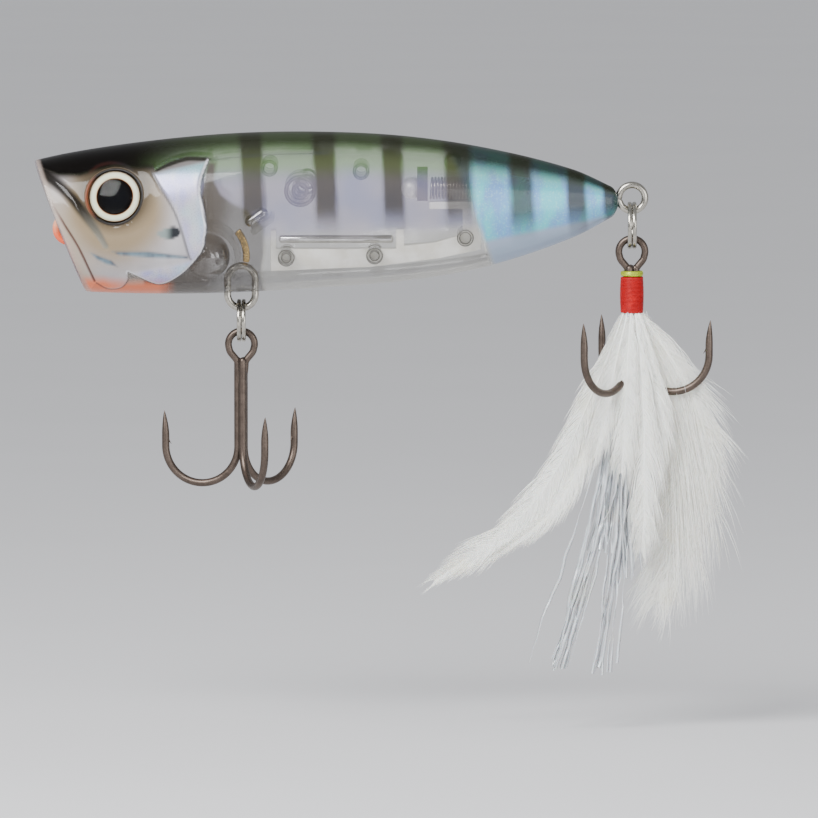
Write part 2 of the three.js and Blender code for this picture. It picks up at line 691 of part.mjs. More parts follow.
addPiece('slug_weight', 'steel', slugSolid(0));
addPiece('rear_ball', 'steel', sphereAt(REAR_BALL.x, REAR_BALL.z, REAR_BALL.radius));
addPiece('spring_seat', 'dark', seatSolid());
addPiece('spring', 'steel', springSolid());
addPiece('belly_split_ring', 'steel', splitRing(HANGER.x, bellyRingZ, BELLY_RING_INNER));
addPiece('tail_split_ring', 'steel', splitRing(TAIL_EYE.x, tailRingZ, TAIL_RING_INNER));
addPiece('belly_treble', 'dark', treble(HANGER.x, bellyHookTop, BELLY_HOOK_ANGLES));
addPiece('tail_treble', 'dark', treble(TAIL_EYE.x, tailHookTop, TAIL_HOOK_ANGLES));
addPiece('thread_wrap', 'thread', sleeve(TAIL_EYE.x, WRAP));
addPiece('tinsel_tag', 'tinsel', sleeve(TAIL_EYE.x, TAG));
Object.entries(FEATHERS).forEach(([name, f]) => {
  addPiece(name, 'feather', blade(f.spine, f.halves, f.y[0], f.y[1]));
});

export default lure;
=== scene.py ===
"""A topwater popper: a clear two-shell body with a cupped mouth, inner weights, wire hangers, split rings,
two treble hooks and a feather dressing. Lengths in the code are millimetres until a mesh is made."""

import math

import bmesh
import bpy
import numpy as np
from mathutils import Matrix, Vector


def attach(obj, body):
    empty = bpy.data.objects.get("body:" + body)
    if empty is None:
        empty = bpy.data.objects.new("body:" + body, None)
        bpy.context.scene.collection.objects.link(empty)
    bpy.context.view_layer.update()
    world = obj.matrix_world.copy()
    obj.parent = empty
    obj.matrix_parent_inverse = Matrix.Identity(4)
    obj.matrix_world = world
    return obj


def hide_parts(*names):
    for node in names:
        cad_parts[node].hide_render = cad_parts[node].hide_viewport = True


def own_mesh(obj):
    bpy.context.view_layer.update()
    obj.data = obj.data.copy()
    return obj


bl_info = {
    "name": "Topwater popper",
    "version": (1, 0, 0),
    "blender": (4, 5, 0),
    "location": "3D View > Sidebar > Popper",
    "description": "Builds a hollow popper with its inner parts, hooks and feather dressing",
    "category": "Add Mesh",
}

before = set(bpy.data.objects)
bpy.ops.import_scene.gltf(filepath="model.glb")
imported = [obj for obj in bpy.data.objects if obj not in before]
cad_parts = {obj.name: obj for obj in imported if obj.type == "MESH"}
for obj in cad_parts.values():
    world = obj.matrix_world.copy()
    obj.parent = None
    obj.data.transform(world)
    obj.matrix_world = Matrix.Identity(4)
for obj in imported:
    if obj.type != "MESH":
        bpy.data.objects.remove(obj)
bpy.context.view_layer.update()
MM = 0.001

# ---------------------------------------------------------------- sizes, in millimetres
# Body stations along X: x, top z, bottom z, half width
STATIONS = np.array([
    [-8, 7.2, -7.0, 5.7], [0, 9.05, -7.45, 6.9], [10, 10.52, -7.75, 7.9], [20, 11.4, -7.6, 8.3],
    [30, 11.56, -7.0, 8.0], [40, 11.05, -6.22, 7.1], [50, 9.58, -4.45, 5.5], [60, 7.08, -1.1, 3.2],
    [65.5, 4.6, 1.8, 1.45],
])
SECTION_POWER = 2.25
BODY_REAR, CAVITY_REAR, TAIL_ROUND = 65.5, 61.5, 0.9
LIP_TOP, LIP_BOTTOM = (-4.2, 8.1), (1.9, -7.3)
MOUTH = ((LIP_TOP[0] + LIP_BOTTOM[0]) / 2, (LIP_TOP[1] + LIP_BOTTOM[1]) / 2)
MOUTH_TURN = math.atan2(LIP_BOTTOM[0] - LIP_TOP[0], LIP_TOP[1] - LIP_BOTTOM[1])
INWARD = np.array([math.cos(MOUTH_TURN), 0.0, math.sin(MOUTH_TURN)])
UPWARD = np.array([-math.sin(MOUTH_TURN), 0.0, math.cos(MOUTH_TURN)])
CUP_DEPTH, CUP_HIGH, CUP_WIDE = 4.9, 7.15, 6.15
LIP_ROUND, BOWL_ROUND = 0.28, 0.25
SEAM_LINE = 0.004  # gap that keeps the halves apart

EYE_X, EYE_Z, EYE_RADIUS, EYE_SINK = 5.5, 4.3, 3.05, 1.15
EYE_LEAN, EYE_YAW = 13, 7  # degrees

WIRE = 0.43
LINE_TIE = {"at": (0.0, 0.0), "ring": 1.6, "anchor": (10.4, 0.0), "loop": 1.15}
TAIL_EYE = {"at": (67.1, 3.65), "ring": 1.55, "anchor": (58.3, 3.1), "loop": 1.0}
HANGER = {"x": 20.5, "z": -7.85, "ring": 1.65, "rise": 1.75}
RING_THICK, RING_WIDE, RING_STEP, RING_TURNS, RING_CROSS = 0.45, 0.5, 0.56, 1.8, 0.055
BELLY_RING_INNER, TAIL_RING_INNER, SLACK = 2.12, 2.4, 0.08
HOOK_WIRE, HOOK_SHANK, HOOK_REACH, HOOK_EYE = 0.42, 0.45, 9.3, 1.56
HOOK_LENGTH, HOOK_RISE, HOOK_NECK, HOOK_BEND = 19.1, 9.0, 2.3, 0.45
BELLY_HOOK_ANGLES, TAIL_HOOK_ANGLES = (168, 48, -72), (-8.4, -128.4, 111.6)

BALL = (16.4, -3.3, 2.75)
SLUG = {"x": 22.3, "z": 1.35, "radius": 0.7, "length": 1.7, "tilt": 35}
BOSS = (27.56, 4.84)
POSTS = [(23.9, 7.5), (34.8, 7.1), (47.2, -0.9), (45.7, 8.1)]
PEGS = [(25.9, -3.2), (36.4, -3.0)]
ROD = (24.95, 38.65, -1.25, 0.48)
REAR_BALL = (40.85, 4.84, 1.3)
SEAT = (41.45, 42.75, 2.55)
SPRING = {"x0": 42.95, "x1": 47.75, "radius": 1.22, "wire": 0.14, "turns": 12}
BULKHEAD = (49.7, 50.4)
FRAME_OUTLINE = [
    (24, -5), (36, -4.5), (44, -3.5), (49.1, -2.4), (49.1, 7.6), (48.1, 7.6), (48.1, 3.25),
    (42.9, 3.25), (42.9, 2.4), (46.9, 2.4), (46.9, -0.7), (43.4, -1.6), (39.9, -1.95), (39.9, 0),
    (38.95, 0), (38.95, -2.35), (24.65, -2.35), (24.65, -0.1), (24, -0.1),
]
GILL_TOP = [(7.2, -3.6), (8.1, 0), (9.4, 6.6), (11.9, 8.3), (15.9, 8.2)]
GILL_BOTTOM = [(7.2, -3.6), (9.6, -4.4), (12.0, -3.2), (12.05, 1.1), (15.9, 1.1)]
FOIL_TOP = [(50.8, 6.6), (55, 5.9), (58.6, 4.8)]
FOIL_BOTTOM = [(50.8, -1.2), (55, 0.1), (58.6, 1.7)]

# Moulded lines of the head, as x, z seen from the side
GROOVE = [(-3.4, 6.9), (-2.4, 4.1), (-0.7, 1.3), (1.3, -2.0), (3.1, -6.0)]
JAW_FOLD = [(-3.0, 7.0), (-1.2, 5.6), (0.3, 4.2), (1.45, 2.76), (3.35, 0.13), (4.5, -1.74)]
GILL_EDGE = [
    (16.7, 8.4), (15.93, 6.37), (15.78, 4.79), (16.08, 3.03), (16.45, 0.73), (16.3, -0.6),
    (15.93, -2.2), (14.06, -4.5), (12.3, -5.8), (10.9, -6.3), (9.7, -6.02), (8.2, -5.3), (7.1, -4.8),
]
CHIN_EDGE = [(7.1, -4.8), (7.05, -5.8), (6.2, -6.8), (4.65, -6.95), (3.3, -6.2)]
GILL_BAR = [(10.0, 6.94), (11.0, 5.2), (12.4, 3.0), (13.3, 0.85), (14.35, -2.7), (14.6, -3.2)]
GILL_CROWN = [
    (10.3, 7.4), (11.9, 8.25), (14.06, 8.9), (16.8, 8.76), (16.5, 8.37), (14.1, 8.3), (11.95, 7.65),
    (10.5, 7.05),
]
BROW = [(2.6, 7.0), (3.6, 7.75), (5.1, 8.1), (6.6, 7.9), (7.6, 7.3)]
BACK_EDGE = [
    (-6, 7.6), (-3.0, 7.2), (-1.2, 6.5), (1.4, 6.5), (3.0, 7.0), (5.5, 7.6), (8.3, 7.4), (10.3, 7.4),
    (12, 8.2), (14, 8.9), (17, 9.2),
]
DASHES = [
    [(2.5, -2.4), (3.9, -2.95), (5.2, -3.4), (5.95, -4.15), (4.6, -3.95), (3.4, -3.35)],
    [(5.2, -2.3), (9.6, -2.25), (14.3, -2.8), (14.3, -3.15), (9.6, -3.05), (6.0, -2.75)],
]
GILL_MARK = [
    (10.3, -0.1), (11.4, 0.4), (12.5, 0.75), (13.2, 0.5), (13.35, -0.2), (12.6, -0.7), (11.4, -0.7),
    (10.3, -0.1),
]
BACK_LINE = [(16.9, 8.5), (23, 9.1), (31, 9.35)]
THROAT = [
    (16.6, 8.3), (17.6, 8.2), (17.4, 6.2), (18.2, 4.6), (19.4, 3.6), (21.4, 2.6), (23.2, 0.6), (23.3, -2.6),
    (22.9, -5.0), (23.6, -8.5), (9.0, -8.5), (9.0, -5.5), (14.0, -4.0), (15.5, 3.0),
]

# Bars down the flank: centre x and half width
BARS = [(21.9, 1.3), (30.6, 1.3), (38.7, 1.2), (46.4, 1.55), (53.9, 1.3), (60.45, 1.0), (64.6, 0.9)]
BAR_EDGES = [(-1.35, 0), (-0.8, 1), (0.8, 1), (1.35, 0)]  # place in half widths, strength of the paint
BARS_FIRST, BARS_LAST = 16.0, 68.0

WRAP_TOP, WRAP_BOTTOM, WRAP_RADIUS = -5.75, -10.1, 1.36
TAG_TOP, TAG_BOTTOM, TAG_RADIUS = -5.05, -5.7, 1.3
TIE_X = 67.1


# The stage, in metres and degrees
FLOOR_REACH, FLOOR_LEVEL = 8.0, -0.0605
LIT_POINT = (0.04, 0, -0.015)
LIGHTS = [("key", (-0.18, -0.40, 0.32), 0.3, 5.6), ("fill", (0.38, -0.4, 0.0), 0.4, 2.0)]
VIEW_AIM, VIEW_AWAY, VIEW_ACROSS, VIEW_RISE = (0.0405, 0, -0.0216), 1.5, 0.0977, 4.3


# ---------------------------------------------------------------- settings
def linear(*shades):
    """A 0-255 display colour as a linear one."""
    parts = [shade / 255 for shade in shades]
    return tuple(c / 12.92 if c <= 0.04045 else ((c + 0.055) / 1.055) ** 2.4 for c in parts)


def colour(name, note, default):
    return bpy.props.FloatVectorProperty(
        name=name, description=note, subtype="COLOR", size=3, min=0, max=1, default=linear(*default)
    )


class PopperBody(bpy.types.PropertyGroup):
    """Sizes and paint of the body."""

    wall: bpy.props.FloatProperty(
        name="Wall", description="Thickness of the moulded shells", default=1.3 * MM, unit="LENGTH", precision=4
    )
    relief: bpy.props.FloatProperty(
        name="Relief", description="Strength of the moulded gill and jaw lines", default=1.0, subtype="FACTOR"
    )
    haze: bpy.props.FloatProperty(
        name="Flank haze", description="How solid the flank's pearl looks", default=0.3, min=0, max=1,
        subtype="FACTOR",
    )
    back: colour("Back", "Paint along the back", (26, 28, 17))
    green: colour("Upper flank", "Tint of the upper flank", (122, 160, 98))
    flank: colour("Flank", "Pearl of the flank", (138, 140, 182))
    belly: colour("Belly", "Pearl of the belly", (224, 219, 202))
    bars: colour("Bars", "Paint of the bars", (52, 48, 29))
    tail: colour("Tail", "Foil colour of the tail", (96, 202, 214))
    cheek: colour("Cheek", "Warm pearl round the eye", (136, 120, 96))
    chin: colour("Chin", "Blush of the throat", (222, 116, 74))


class PopperMetal(bpy.types.PropertyGroup):
    """Wire and hook finishes."""

    sides: bpy.props.IntProperty(
        name="Wire sides", description="Faces round a hook wire", default=20, min=8, max=32
    )
    hook: colour("Hooks", "Plated finish of the hooks", (100, 88, 80))
    steel: colour("Rings", "Polished wire of rings and hangers", (186, 182, 172))
    tie: colour("Line tie", "Painted wire in the mouth", (232, 90, 40))


class PopperDressing(bpy.types.PropertyGroup):
    """The feathers and their binding."""

    barbs: bpy.props.IntProperty(
        name="Barbs", description="Barbs on each side of a feather", default=430, min=50, max=900
    )
    strands: bpy.props.IntProperty(
        name="Flash", description="Fullness of the flash strands; 20 is full", default=20, min=2, max=60
    )
    feather: colour("Feather", "Colour of the feathers", (250, 249, 243))
    thread: colour("Thread", "Colour of the binding thread", (180, 0, 7))
    tag: colour("Tag", "Colour of the tinsel tag", (190, 206, 48))


# ---------------------------------------------------------------- node trees
class Link:
    """One output of a node. Sums on it add Math nodes."""

    def __init__(self, tree, socket):
        self.tree = tree
        self.socket = socket

    def other(self, name):
        return Link(self.tree, self.socket.node.outputs[name])

    def sum(self, operation, first, second):
        return self.tree.node("ShaderNodeMath", {"operation": operation}, {0: first, 1: second})

    def __add__(self, value):
        return self.sum("ADD", self, value)

    __radd__ = __add__

    def __sub__(self, value):
        return self.sum("SUBTRACT", self, value)

    def __rsub__(self, value):
        return self.sum("SUBTRACT", value, self)

    def __mul__(self, value):
        return self.sum("MULTIPLY", self, value)

    __rmul__ = __mul__

    def __truediv__(self, value):
        return self.sum("DIVIDE", self, value)

    def __pow__(self, value):
        return self.sum("POWER", self, value)

    def most(self, value):
        return self.sum("MAXIMUM", self, value)

    def rising(self, low, high):
        """0 below low and 1 above high, with a smooth step between."""
        return self.tree.node(
            "ShaderNodeMapRange", {"interpolation_type": "SMOOTHSTEP"}, {0: self, 1: low, 2: high}
        )


class Tree:
    """Adds nodes to a material or a geometry group."""

    def __init__(self, tree, owner=None):
        self.tree = tree
        self.owner = owner

    def node(self, kind, settings=None, inputs=None, output=0):
        made = self.tree.nodes.new(kind)
        for key, value in (settings or {}).items():
            if key == "stops":
                self.fill_ramp(made.color_ramp, value)
            else:
                setattr(made, key, value)
        for key, value in (inputs or {}).items():
            for item in value if isinstance(value, list) else [value]:
                if isinstance(item, Link):
                    self.tree.links.new(item.socket, made.inputs[key])
                else:
                    made.inputs[key].default_value = item
        return Link(self, made.outputs[output]) if made.outputs else None

    def fill_ramp(self, ramp, stops):
        while len(ramp.elements) > 1:
            ramp.elements.remove(ramp.elements[-1])
        ramp.elements[0].position = stops[0][0]
        ramp.elements[0].color = stops[0][1]
        for place, shade in stops[1:]:
            ramp.elements.new(place).color = shade

    def blend(self, amount, first, second):
        first, second = [(*c, 1) if isinstance(c, tuple) and len(c) == 3 else c for c in (first, second)]
        return self.node("ShaderNodeMix", {"data_type": "RGBA"}, {0: amount, 6: first, 7: second}, 2)

    def attribute(self, name):
        return self.node("ShaderNodeAttribute", {"attribute_name": name}, output="Fac")

    def place(self, stretch=(1, 1, 1)):
        """Object coordinates in millimetres, stretched along each axis."""
        at = self.node("ShaderNodeTexCoord", output="Object")
        scale = tuple(s / MM for s in stretch)
        return self.node("ShaderNodeMapping", {}, {"Vector": at, "Scale": scale})

    def height(self, name="Z"):
        """One of the object coordinates, in millimetres."""
        return self.node("ShaderNodeSeparateXYZ", {}, {0: self.place()}).other(name)

    def noise(self, scale, detail=2.0, stretch=(1, 1, 1)):
        """Cloudy noise with `scale` cells to the millimetre."""
        where = self.place(stretch)
        return self.node("ShaderNodeTexNoise", {}, {"Vector": where, "Scale": scale, "Detail": detail})

    def ramp(self, value, stops):
        return self.node("ShaderNodeValToRGB", {"stops": stops}, {0: value})

    def vector(self, x, y, z):
        return self.node("ShaderNodeCombineXYZ", {}, {"X": x, "Y": y, "Z": z})

    def field(self, name, kind="FLOAT"):
        return self.node("GeometryNodeInputNamedAttribute", {"data_type": kind}, {"Name": name})

    def resampled(self, path, count):
        return self.node("GeometryNodeResampleCurve", {"mode": "COUNT"}, {0: path, "Count": count})

    def circle(self, sides, radius=1.0):
        return self.node("GeometryNodeCurvePrimitiveCircle", {}, {"Resolution": sides, "Radius": radius})

    def swept(self, path, section, radius):
        """A section along a path, as thick as the radius given."""
        path = self.node("GeometryNodeSetCurveRadius", {}, {0: path, "Radius": radius})
        return self.node("GeometryNodeCurveToMesh", {}, {
            0: path, 1: section, "Scale": self.node("GeometryNodeInputRadius"), "Fill Caps": True,
        })

    def bump(self, height, strength, distance=0.05):
        return self.node(
            "ShaderNodeBump", {}, {"Height": height, "Strength": strength, "Distance": distance * MM}
        )

    def finish(self, inputs, shine=None):
        """Ends a material with a Principled shader, under a clear shine if one is given."""
        surface = self.node("ShaderNodeBsdfPrincipled", {}, inputs)
        if shine is not None:
            gloss = self.node("ShaderNodeBsdfGlossy", {}, {"Roughness": 0.06})
            surface = self.node("ShaderNodeMixShader", {}, {0: shine, 1: surface, 2: gloss})
        self.node("ShaderNodeOutputMaterial", {}, {"Surface": surface})
        return self.owner


def new_material(name):
    made = bpy.data.materials.new(name)
    made.use_nodes = True
    made.node_tree.nodes.clear()
    return Tree(made.node_tree, made)


# ---------------------------------------------------------------- finishes
def shell_finish(body):
    """Clear shell with its paint: back, bars, pearl flanks, head, throat and tail, with painted shade and highlights
    on the head.
    """
    tree = new_material("painted clear shell")
    spot = tree.node("ShaderNodeSeparateXYZ", {}, {0: tree.place()})
    x, z = spot.other("X"), spot.other("Z")
    rise, head, gill, fold = [tree.attribute(n) for n in ("rise", "head", "gill", "fold")]
    line, blue, mark, edge = [tree.attribute(n) for n in ("line", "blue", "mark", "edge")]
    back, rim, cup, inside, throat = [tree.attribute(n) for n in ("back", "rim", "cup", "inside", "throat")]
    cloud = tree.noise(0.16, 3.0)
    drift = tree.noise(0.45, 4.0, (1, 1, 0.35))
    speck = tree.noise(5.0, 3.0)

    flank = tree.blend(cloud.rising(0.35, 0.65), tuple(body.flank), linear(176, 168, 188))
    green = (rise + (cloud - 0.5) * 0.12).rising(0.38, 0.66)
    paint = tree.blend(green, flank, tuple(body.green))
    belly = 1 - (rise + (cloud - 0.5) * 0.2).rising(-0.42, -0.18)
    paint = tree.blend(belly, paint, tuple(body.belly))
    tail = (x + (z - 2) * 0.35).rising(47.6, 48.9)
    foil = tree.blend(drift.rising(0.38, 0.62), tuple(body.tail), linear(112, 158, 214))
    foil = tree.blend(speck.rising(0.5, 0.7) * 0.35, foil, linear(176, 236, 222))
    keel = 1 - (z - (x - 48) * 0.19).rising(-1.9, -1.1)
    foil = tree.blend(keel, foil, linear(158, 174, 196))
    paint = tree.blend(tail * (1 - green * 0.35), paint, foil)
    smoke = tree.blend(speck, linear(52, 46, 40), linear(94, 86, 78))
    paint = tree.blend(throat, paint, smoke)

    span = BARS_LAST - BARS_FIRST
    stops = [(0.0, (0, 0, 0, 1))]
    for centre, half in BARS:
        stops += [((centre + at * half - BARS_FIRST) / span, (level, level, level, 1)) for at, level in BAR_EDGES]
    wander = (drift - 0.5) * 0.7 + (z - 5) * 0.05
    bars = tree.ramp((x + wander - BARS_FIRST) / span, stops)
    bars = bars * (z + (cloud - 0.5) * 2.5).rising(-2.0, 3.0)
    paint = tree.blend(bars * 0.9, paint, tuple(body.bars))
    top = (rise + (cloud - 0.5) * 0.06 + tail * 0.08).rising(0.62, 0.92)
    paint = tree.blend(top * 0.94, paint, tuple(body.back))

    spread = tree.node("ShaderNodeVectorMath", {"operation": "DISTANCE"}, {
        0: tree.vector(x, 0.0, z), 1: (EYE_X, 0, EYE_Z),
    }, "Value")
    grey = tree.blend(drift, linear(152, 149, 154), linear(182, 179, 182))
    skin = tree.blend((spread + z * 0.25).rising(5.4, 9.0), tuple(body.cheek), grey)
    # Painted shade round the sunken eye: dark brown close to the socket, fading out about 5 mm from its centre
    skin = tree.blend((1 - (spread + z * -0.12).rising(2.7, 5.2)) * 0.85, skin, linear(56, 48, 36))
    # Painted highlight: paler cream towards the front of the head beside the lip
    skin = tree.blend((1 - (x + z * 0.5).rising(-1.2, 2.4)) * 0.7, skin, linear(160, 144, 120))
    pearl = tree.blend(drift.rising(0.36, 0.64), linear(160, 160, 202), linear(192, 188, 198))
    pearl = tree.blend(cloud.rising(0.5, 0.72) * 0.6, pearl, linear(168, 210, 216))
    pearl = tree.blend((z + x * 0.1).rising(7.2, 9.4) * 0.85, pearl, linear(120, 168, 172))
    skin = tree.blend((z + spread * 0.15).rising(5.2, 8.2) * (1 - gill) * 0.7, skin, linear(64, 56, 44))
    skin = tree.blend(gill, skin, pearl)
    paint = tree.blend(head, paint, skin)
    # Painted shade in the jaw fold crease: near black at the top, greyer towards the bottom
    fold_shade_tone = tree.blend(z.rising(-2.4, 3.6), linear(118, 116, 106), linear(14, 11, 8))
    paint = tree.blend(fold * 0.95, paint, fold_shade_tone)
    leaf = tree.blend(drift.rising(0.4, 0.6), linear(60, 70, 84), linear(98, 118, 130))
    paint = tree.blend(blue * 0.95, paint, leaf)
    slate = tree.blend(x.rising(11.4, 12.6), linear(120, 132, 130), linear(30, 33, 38))
    paint = tree.blend(mark * x.rising(9.2, 11.4), paint, slate)
    night = tree.blend((x + z * -0.6).rising(0, 11), linear(9, 7, 6), tuple(body.back))
    paint = tree.blend(back, paint, night)
    chin = (1 - (z + (cloud - 0.5) * 1.2).rising(-6.7, -5.1)) * (1 - x.rising(10.5, 13.0)) * x.rising(-0.5, 2.2)
    paint = tree.blend(chin * (1 - head * (1 - x.rising(8.0, 4.0)) * 0.55), paint, tuple(body.chin))
    # Dark lines: the moulded grooves are painted maroon and slate; just behind the raised rear edge of the gill and
    # along the chin edge the dark is painted shade
    paint = tree.blend(line * 0.9, paint, tree.blend(x.rising(4, 8), linear(66, 34, 30), linear(50, 52, 56)))
    # Painted highlight: a bright line along the raised rear edge of the gill plate
    paint = tree.blend(edge * 0.85, paint, linear(238, 238, 244))
    paint = tree.blend(rim * 0.6, paint, linear(190, 172, 162))
    bowl = tree.blend(z.rising(-6, 3), linear(222, 122, 88), linear(212, 204, 190))
    paint = tree.blend(cup, paint, bowl)

    clear = 1 - inside
    haze = 0.12 + clear * (body.haze - 0.12)
    murk = 0.34 + (1 - (x - z * 0.2).rising(17.0, 19.5)) * 0.3
    haze = haze * (1 - belly * 0.7) * (1 - throat) + throat * murk
    solid = haze.most(bars * 0.82).most(top * 0.9).most(tail * 0.78).most(head * 0.96).most(back * 0.98)
    solid = solid.most(chin * 0.8).most(line * 0.85).most(edge * 0.7).most(cup * 0.88)
    solid = solid * (1 - rim * 0.3) * (1 - inside * 0.95)
    fresnel = tree.node("ShaderNodeFresnel", {}, {"IOR": 1.45})
    return tree.finish({
        "Base Color": paint,
        "Alpha": solid,
        "Roughness": 0.34 - head * 0.06 + (speck - 0.5) * 0.08,
        "Metallic": (gill * 0.3 + tail * 0.25 * (1 - bars)) * (1 - back),
        "Specular IOR Level": 0.05,
        "Normal": tree.bump(speck * 0.4 + drift, 0.08),
    }, fresnel * (0.5 - back.most(top) * 0.43) * (1 - inside * 0.85))


def clear_finish():
    """Bare clear plastic for ribs, posts and bosses, dark where its edges bend the light."""
    tree = new_material("clear moulded plastic")
    speck = tree.noise(1.4, 3.0)
    rim = tree.attribute("rim")
    facing = tree.node("ShaderNodeLayerWeight", {}, {"Blend": 0.5}, "Facing")
    pale = tree.blend(speck, linear(190, 188, 180), linear(226, 226, 222))
    return tree.finish({
        "Base Color": tree.blend(rim, pale, linear(18, 18, 24)),
        "Alpha": 0.1 + facing * 0.25 + rim * 0.8,
        "Roughness": 0.16 + speck * 0.1,
        "Normal": tree.bump(speck, 0.1),
    }, tree.node("ShaderNodeFresnel", {}, {"IOR": 1.45}) * 0.8)


def metal_finish(name, tint, rough, grain=3.0, worn=0.12, stretch=(1, 1, 1), metallic=1.0):
    """Metal with cloudy tone, fine grain and small scratches."""
    tree = new_material(name)
    cloud = tree.noise(0.9, 3.0)
    fine = tree.noise(grain, 5.0, stretch)
    dark = tuple(c * 0.62 for c in tint)
    tone = (cloud * 0.5 + fine * 0.5).rising(0.3, 0.68)
    return tree.finish({
        "Base Color": tree.blend(tone, dark, tuple(tint)),
        "Metallic": metallic,
        "Roughness": rough + (fine - 0.5) * worn,
        "Normal": tree.bump(fine, 0.25, 0.02),
    })


def tie_finish(metal):
    """Paint on the line tie, paler on the upper side of the ring."""
    tree = new_material("painted tie wire")
    z = tree.height()
    fine = tree.noise(4.0, 3.0)
    shade = tree.blend((z + (fine - 0.5)).rising(-1.2, 1.8), tuple(metal.tie), linear(244, 186, 150))
    return tree.finish({
        "Base Color": shade, "Roughness": 0.34 + fine * 0.12, "Coat Weight": 0.4, "Normal": tree.bump(fine, 0.12),
    })


def iris_finish():
    """A cream ring with brown edges round a slate pupil."""
    tree = new_material("painted iris")
    out = tree.attribute("out")
    fine = tree.noise(6.0, 4.0)
    stops = [
        (0.0, 12, 13, 16), (0.52, 10, 10, 12), (0.64, 6, 4, 3), (0.695, 14, 6, 3), (0.72, 112, 58, 22),
        (0.75, 218, 214, 178), (0.86, 222, 230, 206), (0.955, 228, 226, 198), (0.985, 120, 74, 40),
        (1.0, 40, 26, 18),
    ]
    ring = tree.ramp(out + (fine - 0.5) * 0.012, [(at, (*linear(*shade), 1)) for at, *shade in stops])
    return tree.finish({
        "Base Color": ring, "Roughness": 0.45 + fine * 0.1, "Specular IOR Level": 0.0,
        "Normal": tree.bump(fine, 0.08),
    })


def dome_finish():
    """The clear lens over the iris."""
    tree = new_material("clear eye lens")
    facing = tree.node("ShaderNodeLayerWeight", {}, {"Blend": 0.3}, "Facing")
    dome = tree.attribute("out")
    fine = tree.noise(2.0, 2.0)
    return tree.finish({
        "Base Color": tree.blend(fine, linear(210, 214, 206), linear(226, 228, 222)),
        "Alpha": facing * 0.03,
        "Roughness": 0.05 + fine * 0.04,
    }, tree.node("ShaderNodeFresnel", {}, {"IOR": 1.3}) * dome * 0.6)


def socket_shade_finish():
    """The eye socket in dark painted shade, brown-orange towards the mouth and paler at its outer rim."""
    tree = new_material("painted socket shade")
    x = tree.height("X")
    fine = tree.noise(4.0, 3.0)
    outer = tree.attribute("outer")
    # Painted shade in the socket: near black, brown-orange towards the mouth
    deep = tree.blend(x.rising(2.2, 3.6), linear(104, 52, 24), linear(18, 13, 10))
    shade = tree.blend((outer + (fine - 0.5) * 0.2).rising(0.55, 0.95), deep, linear(96, 82, 62))
    return tree.finish({
        "Base Color": shade, "Roughness": 0.35 + fine * 0.15, "Specular IOR Level": 0.3,
        "Normal": tree.bump(fine, 0.15),
    })


def foil_finish(name, first, second, third):
    """Foil whose colour drifts between three tints."""
    tree = new_material(name)
    cloud = tree.noise(0.35, 3.0)
    scale = tree.node("ShaderNodeTexVoronoi", {}, {"Vector": tree.place((1, 1, 1.4)), "Scale": 1.1})
    tint = tree.blend(cloud.rising(0.35, 0.6), first, second)
    tint = tree.blend(scale.rising(0.3, 0.9) * 0.5, tint, third)
    return tree.finish({
        "Base Color": tint, "Metallic": 0.75, "Roughness": 0.22 + cloud * 0.12,
        "Normal": tree.bump(scale, 0.25, 0.06),
    })


def pearl_finish():
    """Pearl plastic of the inner frame."""
    tree = new_material("pearl plastic")
    cloud = tree.noise(0.5, 3.0)
    fine = tree.noise(6.0, 3.0)
    return tree.finish({
        "Base Color": tree.blend(cloud.rising(0.35, 0.65), linear(226, 222, 212), linear(243, 241, 236)),
        "Roughness": 0.28 + fine * 0.14, "Coat Weight": 0.4, "Normal": tree.bump(fine, 0.1),
    })


def seat_finish():
    """Dark matt plastic of the spring seat."""
    tree = new_material("slate plastic")
    fine = tree.noise(7.0, 4.0)
    return tree.finish({
        "Base Color": tree.blend(fine, linear(22, 24, 30), linear(38, 40, 50)),
        "Roughness": 0.5 + fine * 0.2, "Normal": tree.bump(fine, 0.3),
    })


def thread_finish(dressing):
    """Waxed thread with its lay."""
    tree = new_material("waxed thread")
    lay = tree.noise(9.0, 3.0, (1, 1, 3))
    cloud = tree.noise(0.8, 2.0)
    tint = tuple(dressing.thread)
    shade = tree.blend(lay.rising(0.3, 0.7), tuple(c * 0.55 for c in tint), tint)
    shade = tree.blend(cloud.rising(0.5, 0.75) * 0.5, shade, linear(214, 14, 16))
    return tree.finish({
        "Base Color": shade, "Roughness": 0.4 + lay * 0.2, "Specular IOR Level": 0.3,
        "Normal": tree.bump(lay, 0.4, 0.03),
    })


def tinsel_finish(dressing):
    """Bright tinsel with cross wraps."""
    tree = new_material("tinsel")
    lay = tree.noise(6.0, 2.0, (1, 1, 5))
    tint = tuple(dressing.tag)
    return tree.finish({
        "Base Color": tree.blend(lay.rising(0.35, 0.65), tuple(c * 0.5 for c in tint), tint),
        "Metallic": 0.4, "Roughness": 0.25 + lay * 0.2, "Normal": tree.bump(lay, 0.4, 0.03),
    })


def feather_finish(name, tint, metallic=0.0, rough=0.62, painted_glow=0.16):
    """Soft white barbs, a little greyer and warmer in patches, with a painted glow from emission."""
    tree = new_material(name)
    streak = tree.noise(1.6, 4.0, (2.2, 2.2, 0.5))
    cloud = tree.noise(0.22, 2.0)
    shade = tree.blend(streak.rising(0.3, 0.7), tuple(c * 0.9 for c in tint), tuple(tint))
    shade = tree.blend(cloud.rising(0.55, 0.75) * 0.35, shade, linear(244, 238, 216))
    return tree.finish({
        "Base Color": shade, "Roughness": rough + streak * 0.15, "Metallic": metallic,
        # Emission is a painted glow standing in for light scattered through the barbs
        "Emission Color": shade, "Emission Strength": painted_glow,
        "Sheen Weight": 0.25, "Subsurface Weight": 0.12, "Subsurface Scale": 0.4 * MM,
    })


